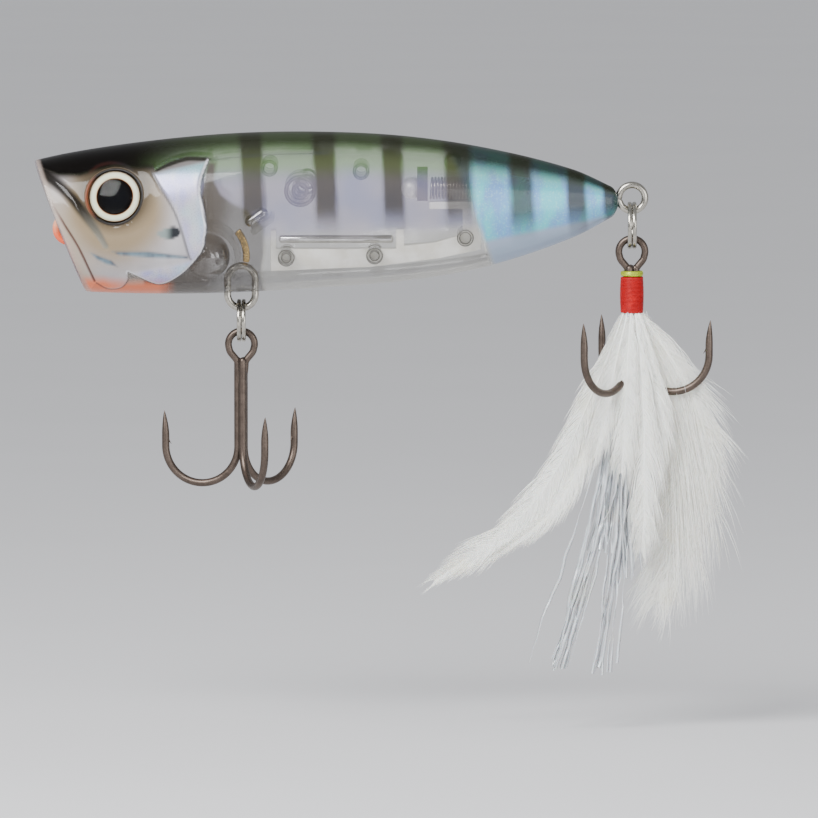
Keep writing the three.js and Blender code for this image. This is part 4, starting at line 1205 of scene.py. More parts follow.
def feather_group():
    """Barbs on both sides of each line of points. The lines hold the half width of their feather."""
    group, tree, given = new_group("Feather", [
        ("Barbs", "Int"), ("Lift", "Float"), ("Barb wire", "Float"), ("Loose", "Float"), ("Stem", "Float"),
        ("Seed", "Int"), ("Material", "Material"),
    ])
    bare = tree.node("GeometryNodeMeshToCurve", {}, {0: given.other("Geometry")})
    path = tree.resampled(bare, given.other("Barbs"))
    half, facing = tree.field("half"), tree.field("facing", "FLOAT_VECTOR")
    along = tree.node("GeometryNodeInputTangent")

    line = tree.node("GeometryNodeCurvePrimitiveLine", {}, {"Start": (0, 0, 0), "End": (1, 0, 0)})
    barb = tree.resampled(line, 7)
    step = tree.node("GeometryNodeSplineParameter")
    lift = given.other("Lift") * step * (0.6 + step * 0.6)
    bent = tree.vector(step * (1.25 - step * 0.55), step * step * 0.05, lift)
    barb = tree.node("GeometryNodeSetPosition", {}, {0: barb, "Position": bent})
    barb = tree.swept(barb, tree.circle(3), given.other("Barb wire") * (1.08 - step**1.6))

    def side(sign, shift):
        cross = tree.node("ShaderNodeVectorMath", {"operation": "CROSS_PRODUCT"}, {0: along, 1: facing})
        out = tree.node("ShaderNodeVectorMath", {"operation": "SCALE"}, {0: cross, "Scale": sign})
        axes = {"primary_axis": "Z", "secondary_axis": "X"}
        lay = tree.node("FunctionNodeAxesToRotation", axes, {0: along, 1: out})
        loose = given.other("Loose")
        lock = tree.node("ShaderNodeTexNoise", {}, {
            "Vector": tree.node("GeometryNodeInputPosition"), "Scale": 0.55 / MM, "Detail": 1.0,
        })
        turns = [tree.node("FunctionNodeRandomValue", {"data_type": "FLOAT"}, {
            2: loose * -size, 3: loose * size, "Seed": given.other("Seed") + (shift + i),
        }, 1) for i, size in enumerate((0.12, 0.32, 0.5))]
        turns[1] = turns[1] + (lock - 0.5) * loose * 3.2
        lay = tree.node("FunctionNodeRotateRotation", {"rotation_space": "LOCAL"}, {
            0: lay, 1: tree.node("FunctionNodeEulerToRotation", {}, {0: tree.vector(*turns)}),
        })
        vary = tree.node("FunctionNodeRandomValue", {"data_type": "FLOAT"}, {
            2: 1.0 - loose * 0.75, 3: 1.0 + loose * 0.3, "Seed": given.other("Seed") + (shift + 7),
        }, 1)
        reach = half * vary * 1.4
        size = tree.vector(reach, 2.4 * MM, reach)
        return tree.node("GeometryNodeInstanceOnPoints", {}, {
            0: path, "Instance": barb, "Rotation": lay, "Scale": size,
        })

    spot = tree.node("GeometryNodeSplineParameter")
    stem = tree.swept(tree.resampled(bare, 40), tree.circle(8), given.other("Stem") * (1.05 - spot))
    whole = tree.node("GeometryNodeJoinGeometry", {}, {0: [side(1.0, 11), side(-1.0, 31), stem]})
    end_group(tree, whole, given.other("Material"))
    return group


def fibre_group():
    """A wavy, twisting, tapering fibre along each line of points."""
    group, tree, given = new_group("Fibre", [
        ("Steps", "Int"), ("Wave", "Float"), ("Wave size", "Float"), ("Twist", "Float"), ("Flat", "Float"),
        ("Taper", "Float"), ("Material", "Material"),
    ])
    bare = tree.node("GeometryNodeMeshToCurve", {}, {0: given.other("Geometry")})
    path = tree.resampled(bare, given.other("Steps"))
    step = tree.node("GeometryNodeSplineParameter")
    thick, phase = tree.field("half"), tree.field("phase")
    where = tree.vector(phase * 31.7, phase * 11.3, step.other("Length") / given.other("Wave size"))
    cloud = tree.node("ShaderNodeTexNoise", {}, {"Vector": where, "Scale": 1.0, "Detail": 2.0}, "Color")
    centred = tree.node("ShaderNodeVectorMath", {"operation": "SUBTRACT"}, {0: cloud, 1: (0.5, 0.5, 0.5)})
    shift = tree.node("ShaderNodeVectorMath", {"operation": "SCALE"}, {
        0: centred, "Scale": given.other("Wave") * step.rising(0.02, 0.6),
    })
    path = tree.node("GeometryNodeSetPosition", {}, {0: path, "Offset": shift})
    tilt = given.other("Twist") * step + phase * 6.0
    path = tree.node("GeometryNodeSetCurveTilt", {}, {0: path, "Tilt": tilt})
    squash = tree.vector(1.0, given.other("Flat"), 1.0)
    section = tree.node("GeometryNodeTransform", {}, {0: tree.circle(4), "Scale": squash})
    strand = tree.swept(path, section, thick * (1.02 - given.other("Taper") * step**2.0))
    end_group(tree, strand, given.other("Material"))
    return group


def guide_mesh(name, lines):
    """Lines of points, each a dict of points, half widths and, if wanted, facing and phase."""
    points, edges = [], []
    half, facing, phase = [], [], []
    for line in lines:
        start = len(points)
        count = len(line["points"])
        points += (np.asarray(line["points"]) * MM).tolist()
        edges += [(start + i, start + i + 1) for i in range(count - 1)]
        half += (np.broadcast_to(line["half"], count) * MM).tolist()
        facing += np.broadcast_to(line.get("facing", (0, 1, 0)), (count, 3)).ravel().tolist()
        phase += [line.get("phase", 0.0)] * count
    mesh = bpy.data.meshes.new(name)
    mesh.from_pydata(points, edges, [])
    mesh.attributes.new("half", "FLOAT", "POINT").data.foreach_set("value", half)
    mesh.attributes.new("facing", "FLOAT_VECTOR", "POINT").data.foreach_set("vector", facing)
    mesh.attributes.new("phase", "FLOAT", "POINT").data.foreach_set("value", phase)
    return mesh


def quill(spine, halves, lean=0.0):
    """One feather's line: a smooth spine of x, y, z points with its half widths."""
    points = spline(spine, 12)
    stations = np.linspace(0, 1, len(halves))
    wide = np.interp(np.linspace(0, 1, len(points)), stations, halves)
    wide = np.convolve(np.pad(wide, 4, mode="edge"), np.ones(9) / 9, "valid")
    return {"points": points, "half": wide, "facing": (math.sin(lean), math.cos(lean), 0)}


LEFT_QUILLS = [
    ([(66.2, -0.5, -9.9), (64.4, -0.2, -15), (61.7, 0.7, -21.5), (58.6, 1.2, -28.2), (53.4, 1.3, -35.2),
      (43.6, 1.2, -42.2)],
     (0.5, 1.3, 1.7, 1.75, 1.75, 1.6, 0.5)),
    ([(66.3, 0.0, -9.9), (64.9, 0.2, -15), (62.3, 0.9, -21.8), (59.5, 1.3, -28.5), (54.9, 1.3, -35),
      (47.0, 1.2, -40.6)],
     (0.5, 1.2, 1.5, 1.6, 1.5, 1.3, 0.4)),
    ([(66.4, 0.4, -9.9), (65.3, 0.5, -15), (63.3, 0.9, -21.8), (60.9, 1.0, -28.5), (57.2, 1.0, -34.4),
      (50.6, 1.0, -39.4)],
     (0.5, 1.1, 1.4, 1.4, 1.2, 0.9, 0.2)),
]
CENTRE_QUILLS = [
    ([(66.6, -1.0, -9.9), (65.2, -1.5, -16), (63.9, -1.7, -22), (62.6, -1.6, -27)],
      (0.5, 1.2, 1.4, 1.1, 0.4)),
    ([(67.0, -1.1, -9.9), (66.6, -1.8, -16), (66.3, -2.0, -23), (65.8, -1.9, -29)],
      (0.5, 1.3, 1.6, 1.3, 0.4)),
    ([(67.5, -1.0, -9.9), (68.2, -1.8, -17), (68.6, -2.0, -25), (68.6, -1.9, -33), (68.2, -1.7, -38.5)],
     (0.5, 1.4, 1.7, 1.6, 1.2, 0.4)),
    ([(67.8, -0.9, -9.9), (69.2, -1.4, -16), (70.2, -1.6, -22), (70.6, -1.5, -28)],
      (0.5, 1.3, 1.6, 1.2, 0.3)),
    ([(67.0, 0.2, -9.9), (67.3, 0.1, -18), (67.5, 0.1, -27), (67.2, 0.1, -35)], (0.5, 1.4, 1.7, 1.4, 0.4)),
]
RIGHT_QUILLS = [
    ([(67.9, -0.4, -9.9), (70.0, 0.2, -15), (72.6, 0.8, -21), (74.0, 1.2, -28), (73.4, 1.3, -36),
      (70.6, 1.2, -44.5)],
     (0.5, 1.9, 2.9, 3.4, 3.3, 2.6, 1.5)),
    ([(67.8, 0.3, -9.9), (69.3, 0.7, -15), (71.0, 1.3, -22), (72.0, 1.5, -30), (71.2, 1.5, -38.5),
      (69.8, 1.4, -44)],
     (0.5, 1.6, 2.6, 2.9, 2.6, 2.0, 1.2)),
    ([(68.0, 0.0, -9.9), (70.8, -0.1, -14), (73.9, -0.2, -19), (75.8, 0.2, -25), (76.0, 0.4, -31)],
     (0.4, 1.2, 1.9, 2.2, 1.8, 0.8)),
    ([(67.9, 0.6, -9.9), (70.6, 0.9, -14.5), (73.2, 1.0, -20), (74.9, 1.1, -27), (74.4, 1.1, -34)],
     (0.4, 1.5, 2.3, 2.6, 2.2, 1.0)),
]
FLASH_LOCKS = [  # root, middle and tip of each lock, its strands and how far they spread
    ((64.6, -21), (60.4, -36), (54.5, -52.6), 1, 0.1), ((65.2, -20), (62.4, -36), (57.4, -52.9), 5, 0.32),
    ((65.6, -20), (63.4, -36), (59.3, -53.0), 6, 0.34), ((66.4, -20), (65.4, -36), (62.7, -53.6), 5, 0.36),
    ((66.7, -20), (66.2, -36), (63.9, -53.8), 4, 0.3), ((67.0, -20), (66.6, -37), (65.3, -52.4), 1, 0.1),
    ((66.2, -19), (64.6, -30), (63.6, -39), 9, 0.8), ((67.2, -19), (66.6, -30), (66.2, -42), 10, 0.7),
]


# ---------------------------------------------------------------- operators
class POPPER_OT_shells(bpy.types.Operator):
    """Make the two clear halves of the body"""

    bl_idname = "popper.shells"
    bl_label = "Body shells"

    def execute(self, context):
        body = context.scene.popper_body
        finish = shell_finish(body)
        right = half_shell(body.wall / MM, body.relief)
        add_piece("right_half", right.mesh("right_half"), "body", "clear_shell", finish, "right_shell", sharp=70)
        left = right.mirror()
        add_piece("left_half", left.mesh("left_half"), "body", "clear_shell", finish, "left_shell", sharp=70)
        return {"FINISHED"}


def rib(build, outline, inset=1.15):
    """A moulded rib across the body: an outline whose ends follow the wall."""
    flat = np.asarray(outline, float)
    reach = side_reach(flat[:, 0], flat[:, 1], inset)
    for sign in (-1, 1):
        near = np.stack([flat[:, 0], 0 * reach + sign * 0.03, flat[:, 1]], 1)
        far = np.stack([flat[:, 0], sign * np.maximum(reach, 0.1), flat[:, 1]], 1)
        index = build.grid(np.stack([near, far]), loop=True)
        build.cap(index[0])
        build.cap(index[1][::-1])


def post(build, at, outer, hole, near, side, edge=0.11, around=32):
    """A hollow post from `near` to the wall on one side."""
    x, z = at
    far = side_reach(x, z, 1.2)
    half = [(hole, edge), (hole, edge * 0.9), (hole + edge, 0), (hole + edge * 1.05, 0)]
    half += [(outer - edge * 1.05, 0), (outer - edge, 0), (outer, edge * 0.9), (outer, edge)]
    shade = [0.1, 1, 1, 0, 0, 1, 1, 0.1]
    profile = [(r, near + h) for r, h in half] + [(r, far - h) for r, h in reversed(half)]
    turned(build, profile, (x, 0, z), (0, side, 0), around, ring=True, rim=shade + shade[::-1])


class POPPER_OT_ribs(bpy.types.Operator):
    """Make the ribs, posts and bosses moulded inside the shells"""

    bl_idname = "popper.ribs"
    bl_label = "Moulded ribs and posts"

    def execute(self, context):
        build = Build()
        bx, bz, radius = BALL
        inner, outer = arc(bx, bz, radius + 0.65, -38, 84, 36), arc(bx, bz, radius + 1.25, 84, -38, 36)
        rib(build, np.concatenate([inner, outer]))
        slope = math.radians(SLUG["tilt"])
        ux, uz = math.cos(slope), math.sin(slope)
        corners = [(-1.3, -0.7), (1.7, -0.7), (1.7, -1.3), (-1.3, -1.3)]
        rib(build, [(SLUG["x"] + a * ux - b * uz, SLUG["z"] + a * uz + b * ux) for a, b in corners])
        bottom, top = [(station(50.05, c) + s) for c, s in ((2, 1.25), (1, -1.25))]
        edge = np.linspace(bottom, top, 16)
        rib(build, np.concatenate([
            np.stack([0 * edge + BULKHEAD[0], edge], 1), np.stack([0 * edge + BULKHEAD[1], edge[::-1]], 1)
        ]))
        slant = Build()
        rib(slant, [(48.5, 2.7), (48.85, 2.7), (49.95, -2.6), (49.6, -2.6)])
        add_piece(
            "bulkhead_foot", slant.mesh("bulkhead_foot"), "body", "clear_shell", pearl_finish(), "left_shell",
            "right_shell", sharp=35,
        )
        wall_top = station(16.8, 1) - 1.3
        edge = np.linspace(0.1, wall_top, 12)
        front, rear = np.stack([0 * edge + 16.5, edge], 1), np.stack([0 * edge + 17.1, edge[::-1]], 1)
        rib(build, np.concatenate([front, rear]))
        rib(build, [(12.3, 0.1), (17.2, 0.1), (17.2, 0.7), (12.3, 0.7)])
        add_piece(
            "inner_ribs", build.mesh("inner_ribs"), "body", "clear_shell", clear_finish(),
            "left_shell", "right_shell", sharp=35,
        )
        for side, label in ((-1, "left"), (1, "right")):
            build = Build()
            for at in POSTS:
                post(build, at, 1.0, 0.62, 0.04, side)
            for at in PEGS:
                post(build, at, 1.0, 0.5, 1.62, side)
            post(build, BOSS, 1.9, 1.44, 0.35 if side < 0 else 1.0, side, 0.17)
            post(build, BOSS, 1.02, 0.58, 1.2, side, 0.16)
            post(build, (BOSS[0] + 0.75, BOSS[1] + 0.8), 1.25, 1.0, 4.4, side)
            add_piece(
                f"{label}_posts", build.mesh(f"{label}_posts"), "body", "clear_shell",
                bpy.data.materials["clear moulded plastic"], f"{label}_shell", sharp=35,
            )
        return {"FINISHED"}


def eye_piece(side, name, profile, slot, finish, node, out):
    """A turned part of the eye. `out` is the value its finish reads at each row."""
    at, axis, _, _ = eye_frame()
    build = Build()
    turned(build, profile, at * (1, side, 1), axis * (1, side, 1), 72, out=out)
    return add_piece(name, build.mesh(name), "body", slot, finish, node, sharp=50)


class POPPER_OT_eyes(bpy.types.Operator):
    """Make the irises, the clear lenses and the sockets"""

    bl_idname = "popper.eyes"
    bl_label = "Eyes"

    def execute(self, context):
        iris, dome, socket = iris_finish(), dome_finish(), socket_shade_finish()
        low, high = -0.9, -0.5
        disc = [(0, low), (EYE_RADIUS - 0.05, low), (EYE_RADIUS - 0.02, low + 0.04)]
        disc += [(r, high) for r in np.linspace(EYE_RADIUS - 0.04, 0, 44)]
        rise = np.linspace(0, math.pi / 2, 24)
        lens = [(0, -0.44), (EYE_RADIUS - 0.06, -0.44)]
        lens += [((EYE_RADIUS - 0.04) * math.cos(t), -0.3 + 1.1 * math.sin(t)) for t in rise]
        lens[-1] = (0, lens[-1][1])
        for side, label in ((-1, "left"), (1, "right")):
            radial = [r / EYE_RADIUS for r, _ in disc]
            eye_piece(side, f"{label}_iris_disc", disc, "iris", iris, f"{label}_iris", radial)
            shiny = [0, 0] + [1] * (len(lens) - 2)
            eye_piece(side, f"{label}_lens", lens, "eye_dome", dome, f"{label}_eye_dome", shiny)
            self.socket(side, f"{label}_socket", socket)
        return {"FINISHED"}

    def socket(self, side, name, finish):
        """A rolled rim that follows the cheek round the eye."""
        at, out, first, second = eye_frame()
        angle = np.linspace(0, 2 * math.pi, 96, endpoint=False)
        way = np.cos(angle)[:, None] * first + np.sin(angle)[:, None] * second
        rings = [(3.1, -1.2), (3.12, -0.6), (3.16, None, -0.1), (3.24, None, 0.04), (3.36, None, 0.09),
                 (3.52, None, 0.06), (3.66, None, -0.05), (3.66, None, -0.5), (3.3, -1.3)]
        rows = []
        for radius, low, *over in rings:
            level = np.zeros(len(angle))
            if over:
                for _ in range(14):
                    spot = at + radius * way + level[:, None] * out
                    level += (side_reach(spot[:, 0], spot[:, 2]) - spot[:, 1]) / out[1]
                level += over[0]
            else:
                level += low
            rows.append(at + radius * way + level[:, None] * out)
        rows = np.array(rows) * (1, side, 1)
        outer = np.array([r[0] for r in rings])[:, None]
        build = Build()
        index = build.grid(rows, loop=True, outer=(outer - 3.1) / 0.56)
        build.strip(np.append(index[-1], index[-1, 0]), np.append(index[0], index[0, 0]))
        label = "left_shell" if side < 0 else "right_shell"
        add_piece(name, build.mesh(name), "body", "clear_shell", finish, label, sharp=60)


def lining(build, top, bottom, side):
    """A thin plate just inside the wall, between two edges given as x, z."""
    x = np.linspace(top[0][0] + 0.05, top[-1][0], 48)
    high = np.interp(x, *np.array(top).T)
    low = np.interp(x, *np.array(bottom).T)
    share = np.linspace(0, 1, 28)[:, None]
    z = low + (high - low - 0.02) * share + 0.01
    layers = []
    for inset in (1.62, 2.0):
        layers.append(build.grid(np.stack([x + 0 * z, side * side_reach(x + 0 * z, z, inset), z], -1)))
    for cut in ((0, slice(None)), (-1, slice(None)), (slice(None), 0), (slice(None), -1)):
        build.strip(layers[0][cut], layers[1][cut])


class POPPER_OT_foils(bpy.types.Operator):
    """Make the foil plates in the head and tail"""

    bl_idname = "popper.foils"
    bl_label = "Foil plates"

    def execute(self, context):
        gill = foil_finish("lilac foil", linear(196, 198, 226), linear(224, 226, 236), linear(160, 198, 214))
        tail = foil_finish("turquoise foil", linear(128, 214, 226), linear(146, 186, 228), linear(196, 238, 236))
        for side, label in ((-1, "left"), (1, "right")):
            for part, top, bottom, finish in (
                ("gill_plate", GILL_TOP, GILL_BOTTOM, gill), ("tail_foil", FOIL_TOP, FOIL_BOTTOM, tail),
            ):
                build = Build()
                lining(build, top, bottom, side)
                name = f"{label}_{part}"
                add_piece(f"{name}_sheet", build.mesh(f"{name}_sheet"), "body", "foil", finish, name)
        return {"FINISHED"}


class POPPER_OT_wires(bpy.types.Operator):
    """Make the line tie, the belly hanger and the tail eye"""

    bl_idname = "popper.wires"
    bl_label = "Wire hangers"

    def execute(self, context):
        metal = context.scene.popper_metal
        steel = metal_finish("polished wire", metal.steel, 0.22, 3.0, 0.12)
        build = Build()
        eyed_wire(build, LINE_TIE, WIRE, metal.sides)
        add_piece("mouth_ring", build.mesh("mouth_ring"), "body", "wire_orange", tie_finish(metal), "line_tie")
        build = Build()
        eyed_wire(build, TAIL_EYE, WIRE - 0.02, metal.sides)
        add_piece("tail_ring_wire", build.mesh("tail_ring_wire"), "body", "wire_steel", steel, "tail_eye")
        build = Build()
        hanger_wire(build, metal.sides)
        add_piece("hanger_link", build.mesh("hanger_link"), "body", "wire_steel", steel, "belly_hanger")
        return {"FINISHED"}


class POPPER_OT_weights(bpy.types.Operator):
    """Make the inner frame, the weights, the seat and the ball behind it"""

    bl_idname = "popper.weights"
    bl_label = "Inner frame and weights"

    def execute(self, context):
        chrome = metal_finish("chromed steel", linear(206, 206, 208), 0.14, 2.0, 0.1)
        brass = metal_finish("brass", linear(214, 178, 108), 0.26, 3.0, 0.15)
        build = Build()
        plate(build, FRAME_OUTLINE, -1.5, 1.5)
        mesh = bevelled(build.mesh("chassis"), 0.12)
        pearl = bpy.data.materials["pearl plastic"]
        add_piece("chassis", mesh, "body", "white_plastic", pearl, "inner_frame", sharp=35)
        build = Build()
        x0, x1, z, radius = ROD
        capsule(build, (x0, 0, z), (x1, 0, z), radius, 28, 0.6)
        add_piece("cradle_rod", build.mesh("cradle_rod"), "body", "weight_steel", chrome, "balance_rod")
        build = Build()
        ball(build, (BALL[0], 0, BALL[1]), BALL[2], 56)
        add_piece("throat_ball", build.mesh("throat_ball"), "rattle", "weight_steel", chrome, "front_weight")
        build = Build()
        bx, bz, radius = BALL
        inner, outer = arc(bx, bz, radius + 1.55, -8, 40, 20), arc(bx, bz, radius + 2.35, 40, -8, 20)
        plate(build, np.concatenate([inner, outer]), -1.3, 1.3)
        mesh = bevelled(build.mesh("keel_crescent"), 0.14)
        add_piece("keel_crescent", mesh, "body", "weight_brass", brass, "keel_weight", sharp=35)
        build = Build()
        half = SLUG["length"] / 2 + SLUG["radius"]
        slope = math.radians(SLUG["tilt"])
        dx, dz = half * math.cos(slope), half * math.sin(slope)
        capsule(build, (SLUG["x"] - dx, 0, SLUG["z"] - dz), (SLUG["x"] + dx, 0, SLUG["z"] + dz), SLUG["radius"], 32)
        add_piece("tilted_slug", build.mesh("tilted_slug"), "body", "weight_steel", chrome, "slug_weight")
        build = Build()
        ball(build, (REAR_BALL[0], 0, REAR_BALL[1]), REAR_BALL[2], 44)
        satin = metal_finish("satin steel", linear(238, 236, 230), 0.4, 2.0, 0.1, metallic=0.35)
        add_piece("seat_ball", build.mesh("seat_ball"), "plunger", "weight_steel", satin, "rear_ball")
        build = Build()
        turn = np.radians(np.arange(0, 360, 6))
        outline = np.stack([np.clip(np.cos(turn) * SEAT[2], -1.9, 1.9), np.clip(np.sin(turn) * SEAT[2], -1.44, 9)], 1)
        outline[:, 1] += REAR_BALL[1]
        keep = np.abs(np.diff(outline, axis=0, append=outline[:1])).sum(1) > 1e-6
        plate(build, outline[keep], SEAT[0] + 0.02, SEAT[1] - 0.02, axis="x")
        mesh = bevelled(build.mesh("sprung_seat"), 0.1)
        add_piece("sprung_seat", mesh, "plunger", "seat_plastic", seat_finish(), "spring_seat", sharp=35)
        return {"FINISHED"}


class POPPER_OT_spring(bpy.types.Operator):
    """Wind the coil spring"""

    bl_idname = "popper.spring"
    bl_label = "Coil spring"

    def execute(self, context):
        metal = context.scene.popper_metal
        finish = metal_finish("spring wire", tuple(c * 0.8 for c in metal.steel), 0.25, 4.0, 0.1)
        length = SPRING["x1"] - SPRING["x0"] - 2 * SPRING["wire"]
        wound = run_group(coil_group(), bpy.data.meshes.new("coil"), "sprung_coil", {
            "Turns": float(SPRING["turns"]), "Radius": SPRING["radius"] * MM,
            "Length": length * MM, "Wire": SPRING["wire"] * MM, "Material": finish,
        })
        spot = np.array([v.co for v in wound.vertices])
        place = np.stack([
            spot[:, 2] + (SPRING["x0"] + SPRING["wire"]) * MM, spot[:, 1], spot[:, 0] * -1 + REAR_BALL[1] * MM
        ], 1)
        wound.vertices.foreach_set("co", place.ravel())
        coil = add_piece("sprung_coil", wound, "body", "wire_steel", finish, "spring", sharp=0)
        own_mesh(coil)
        return {"FINISHED"}


class POPPER_OT_rings(bpy.types.Operator):
    """Make the two split rings"""

    bl_idname = "popper.rings"
    bl_label = "Split rings"

    def execute(self, context):
        finish = bpy.data.materials["polished wire"]
        belly, tail, _, _ = ring_places()
        for name, x, z, inner in (
            ("belly", HANGER["x"], belly, BELLY_RING_INNER), ("tail", TAIL_EYE["at"][0], tail, TAIL_RING_INNER),
        ):
            build = Build()
            split_ring(build, x, z, inner)
            label = f"{name}_ring_coil"
            add_piece(label, build.mesh(label), f"{name}_ring", "wire_steel", finish, f"{name}_split_ring")
        return {"FINISHED"}


class POPPER_OT_hooks(bpy.types.Operator):
    """Make the two treble hooks"""

    bl_idname = "popper.hooks"
    bl_label = "Treble hooks"

    def execute(self, context):
        metal = context.scene.popper_metal
        finish = metal_finish("plated hook wire", metal.hook, 0.4, 5.0, 0.2, metallic=0.9)
        _, _, belly, tail = ring_places()
        for name, x, top, angles in (
            ("belly", HANGER["x"], belly, BELLY_HOOK_ANGLES), ("tail", TAIL_EYE["at"][0], tail, TAIL_HOOK_ANGLES),
        ):
            build = Build()
            treble(build, x, top, angles, metal.sides)
            label = f"{name}_hooks"
            add_piece(label, build.mesh(label), f"{name}_hook", "hook_bronze", finish, f"{name}_treble", sharp=60)
        return {"FINISHED"}


class POPPER_OT_thread(bpy.types.Operator):
    """Wind the thread binding and the tinsel tag"""

    bl_idname = "popper.thread"
    bl_label = "Thread and tag"

    def execute(self, context):
        dressing = context.scene.popper_dressing
        thread, tinsel = thread_finish(dressing), tinsel_finish(dressing)
        group = bpy.data.node_groups["Coil"]
        for name, top, bottom, radius, wire, turns, finish, slot, node in (
            ("binding", WRAP_TOP, WRAP_BOTTOM, WRAP_RADIUS, 0.085, 27.0, thread, "thread", "thread_wrap"),
            ("tag_turns", TAG_TOP, TAG_BOTTOM, TAG_RADIUS, 0.07, 5.0, tinsel, "tinsel", "tinsel_tag"),
        ):
            wound = run_group(group, bpy.data.meshes.new(name), name, {
                "Turns": turns, "Radius": (radius - wire * 0.4) * MM,
                "Length": (top - bottom - 2 * wire) * MM, "Wire": wire * MM, "Material": finish,
            })
            build = Build()
            inner = 1.05
            profile = [(inner, bottom), (radius - 0.06, bottom + 0.06), (radius - 0.03, bottom + 0.2),
                       (radius - 0.03, top - 0.2), (radius - 0.06, top - 0.06), (inner, top)]
            turned(build, profile, (TIE_X, 0, 0), (0, 0, 1), 40, ring=True)
            core = build.mesh(name)
            work = bmesh.new()
            work.from_mesh(wound)
            bulge = 0.06
            for v in work.verts:
                v.co.z += (bottom + wire) * MM
                share = (v.co.z / MM - bottom) / (top - bottom)
                swell = 1 + bulge * (math.sin(math.pi * min(max(share, 0), 1)) - 0.7)
                v.co.x = v.co.x * swell + TIE_X * MM
                v.co.y *= swell
            work.from_mesh(core)
            work.to_mesh(wound)
            work.free()
            add_piece(name, wound, "tail_hook", slot, finish, node, sharp=50)
        return {"FINISHED"}


class POPPER_OT_feathers(bpy.types.Operator):
    """Dress the tail hook with feathers"""

    bl_idname = "popper.feathers"
    bl_label = "Feathers"

    def execute(self, context):
        dressing = context.scene.popper_dressing
        finish = feather_finish("white feather", tuple(dressing.feather))
        group = feather_group()
        for name, quills, lift, loose, wire, share in (
            ("left_hackle", LEFT_QUILLS, 2.3, 0.16, 0.026, 1.0), ("centre_hackle", CENTRE_QUILLS, 2.2, 0.22, 0.026, 0.72),
            ("right_hackle", RIGHT_QUILLS, 1.9, 0.5, 0.0135, 0.95),
        ):
            lines = [quill(spine, halves, 0.15 * i) for i, (spine, halves) in enumerate(quills)]
            barbs = run_group(group, guide_mesh(name, lines), f"{name}_barbs", {
                "Barbs": int(dressing.barbs * share), "Lift": lift, "Barb wire": wire, "Loose": loose,
                "Stem": 0.13 * MM, "Seed": 5, "Material": finish,
            })
            add_piece(f"{name}_barbs", barbs, "tail_hook", "feather", finish, name, sharp=0)
        return {"FINISHED"}


class POPPER_OT_flash(bpy.types.Operator):
    """Hang the flash strands and the loose wisps"""

    bl_idname = "popper.flash"
    bl_label = "Flash strands"

    def execute(self, context):
        dressing = context.scene.popper_dressing
        # its last figure is the strands' painted glow
        finish = feather_finish("flash strand", linear(222, 226, 230), 0.5, 0.22, 0.06)
        group = fibre_group()
        chance = np.random.default_rng(23)
        lines = []
        for root, middle, tip, count, spread in FLASH_LOCKS:
            for _ in range(round(count * dressing.strands / 20)):
                off = chance.normal(0, 1, (3, 2)) * spread
                shorter = 1 - abs(chance.normal(0, 0.04))
                spine = [
                    (TIE_X + chance.normal(0, 0.3), chance.normal(0, 0.4), -9.9),
                    (root[0] + off[0, 0], 0.3 + off[0, 1] * 0.6, root[1]),
                    (middle[0] + off[1, 0], 0.3 + off[1, 1] * 0.8, middle[1]),
                    (middle[0] + (tip[0] - middle[0]) * shorter + off[2, 0], 0.2 + off[2, 1] * 0.8,
                     middle[1] + (tip[1] - middle[1]) * shorter),
                ]
                lines.append({
                    "points": spline(spine, 8), "half": 0.2 + 0.2 * chance.random(), "phase": chance.random(),
                })
        strands = run_group(group, guide_mesh("flash", lines), "flash_locks", {
            "Steps": 90, "Wave": 1.0 * MM, "Wave size": 4.5 * MM, "Twist": 7.0, "Flat": 0.2, "Taper": 0.35,
            "Material": finish,
        })
        add_piece("flash_locks", strands, "tail_hook", "feather", finish, "flash_strands", sharp=0)

        lines = []
        for _ in range(520):
            share = chance.random()
            swing = chance.normal(0, 1, 3)
            end = np.array([
                73.4 + 3.6 * math.sin(share * 2.4) + swing[0] * 1.0 - 4.4 * max(0.0, share - 0.45),
                0.6 + swing[1] * 1.0, -19 - share * 29,
            ])
            reach = 0.55 + 0.2 * chance.random()
            knee = np.array([
                68 + (end[0] - 66.5) * reach * 0.9, 0.4 + swing[1] * 0.4, -10 + (end[2] + 10) * reach * 0.72,
            ])
            spine = [(67.7 + swing[2] * 0.25, chance.normal(0, 0.3), -9.9), knee, end]
            lines.append({"points": spline(spine, 8), "half": 0.04, "phase": chance.random()})
        wisps = run_group(group, guide_mesh("wisps", lines), "loose_wisps", {
            "Steps": 22, "Wave": 0.9 * MM, "Wave size": 6 * MM, "Twist": 3.0, "Flat": 0.7, "Taper": 0.85,
            "Material": bpy.data.materials["white feather"],
        })
        white = bpy.data.materials["white feather"]
        add_piece("loose_wisps", wisps, "tail_hook", "feather", white, "right_hackle", sharp=0)
        return {"FINISHED"}


def area_light(name, place, aim, size, power):
    data = bpy.data.lights.new(name, "AREA")
    data.shape, data.size, data.energy = "SQUARE", size, power
    made = bpy.data.objects.new(name, data)
    made.location = place
    made.rotation_euler = (Vector(aim) - Vector(place)).to_track_quat("-Z", "Y").to_euler()
    bpy.context.scene.collection.objects.link(made)


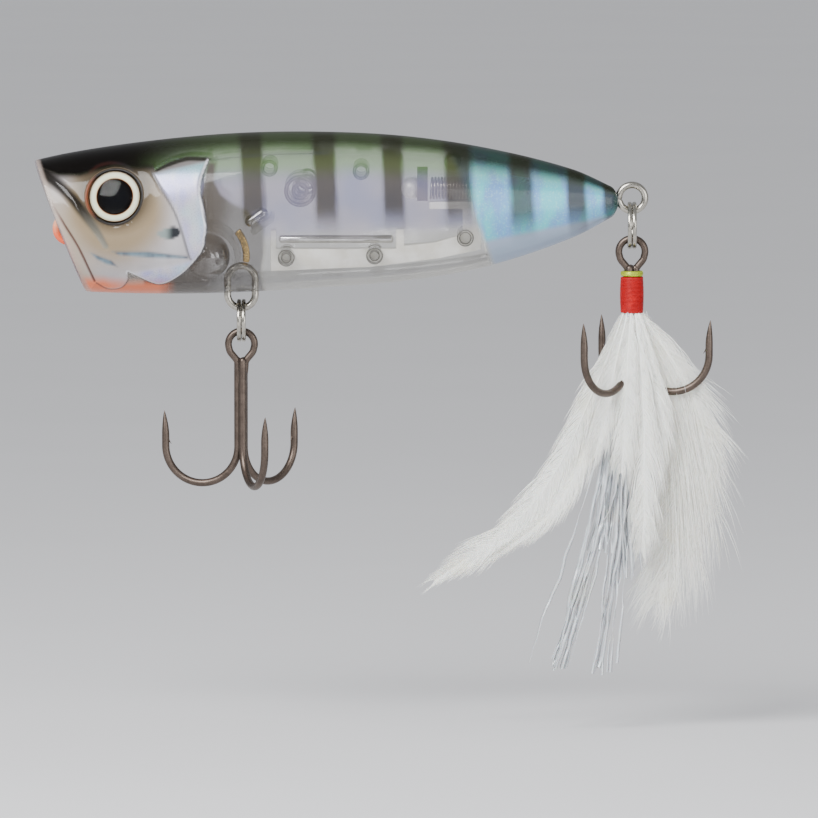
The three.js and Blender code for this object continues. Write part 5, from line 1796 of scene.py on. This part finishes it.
class POPPER_OT_stage(bpy.types.Operator):
    """Set the floor, the lights and the camera"""

    bl_idname = "popper.stage"
    bl_label = "Stage"

    def execute(self, context):
        scene = context.scene
        mesh = bpy.data.meshes.new("pale floor")
        wide = FLOOR_REACH
        corners = [(x, y, FLOOR_LEVEL) for x, y in ((-wide, -wide), (wide, -wide), (wide, wide), (-wide, wide))]
        mesh.from_pydata(corners, [], [(0, 1, 2, 3)])
        tree = new_material("pale floor")
        tone = tree.blend(tree.noise(0.02, 2.0), linear(204, 204, 206), linear(210, 210, 212))
        mesh.materials.append(tree.finish({
            "Base Color": tone, "Roughness": 0.9, "Specular IOR Level": 0.1,
            "Emission Color": (*linear(214, 214, 216), 1), "Emission Strength": 0.32,
        }))
        floor = bpy.data.objects.new("pale_floor", mesh)
        scene.collection.objects.link(floor)
        world = bpy.data.worlds.new("pale room")
        world.use_nodes = True
        world.node_tree.nodes["Background"].inputs["Color"].default_value = (*linear(226, 228, 232), 1)
        world.node_tree.nodes["Background"].inputs["Strength"].default_value = 0.62
        scene.world = world
        for name, place, size, power in LIGHTS:
            area_light(name, place, LIT_POINT, size, power)
        data = bpy.data.cameras.new("view")
        rise = math.radians(VIEW_RISE)
        data.sensor_width = 36.0
        data.lens = data.sensor_width * VIEW_AWAY / VIEW_ACROSS
        data.clip_start, data.clip_end = 0.01, 20.0
        camera = bpy.data.objects.new("view", data)
        aim = Vector(VIEW_AIM)
        camera.location = aim + Vector((0, -math.cos(rise), math.sin(rise))) * VIEW_AWAY
        camera.rotation_euler = (aim - camera.location).to_track_quat("-Z", "Y").to_euler()
        scene.collection.objects.link(camera)
        scene.camera = camera
        return {"FINISHED"}


class POPPER_PT_panel(bpy.types.Panel):
    """Lists the steps that build the popper"""

    bl_label = "Popper"
    bl_space_type = "VIEW_3D"
    bl_region_type = "UI"
    bl_category = "Popper"

    def draw(self, context):
        for step in STEPS:
            self.layout.operator(step.bl_idname)
        for group in (context.scene.popper_body, context.scene.popper_metal, context.scene.popper_dressing):
            box = self.layout.box()
            for name in group.__annotations__:
                box.prop(group, name)


STEPS = (
    POPPER_OT_stage, POPPER_OT_shells, POPPER_OT_ribs, POPPER_OT_eyes, POPPER_OT_foils, POPPER_OT_wires,
    POPPER_OT_weights, POPPER_OT_spring, POPPER_OT_rings, POPPER_OT_hooks, POPPER_OT_thread, POPPER_OT_feathers,
    POPPER_OT_flash,
)
GROUPS = (("popper_body", PopperBody), ("popper_metal", PopperMetal), ("popper_dressing", PopperDressing))


def register():
    for made in (*(group for _, group in GROUPS), *STEPS, POPPER_PT_panel):
        bpy.utils.register_class(made)
    for name, group in GROUPS:
        setattr(bpy.types.Scene, name, bpy.props.PointerProperty(type=group))


def unregister():
    for name, _ in GROUPS:
        delattr(bpy.types.Scene, name)
    for made in (POPPER_PT_panel, *STEPS, *(group for _, group in GROUPS)):
        bpy.utils.unregister_class(made)


def main():
    register()
    for step in STEPS:
        area, name = step.bl_idname.split(".")
        getattr(getattr(bpy.ops, area), name)()


if __name__ == "__main__":
    main()
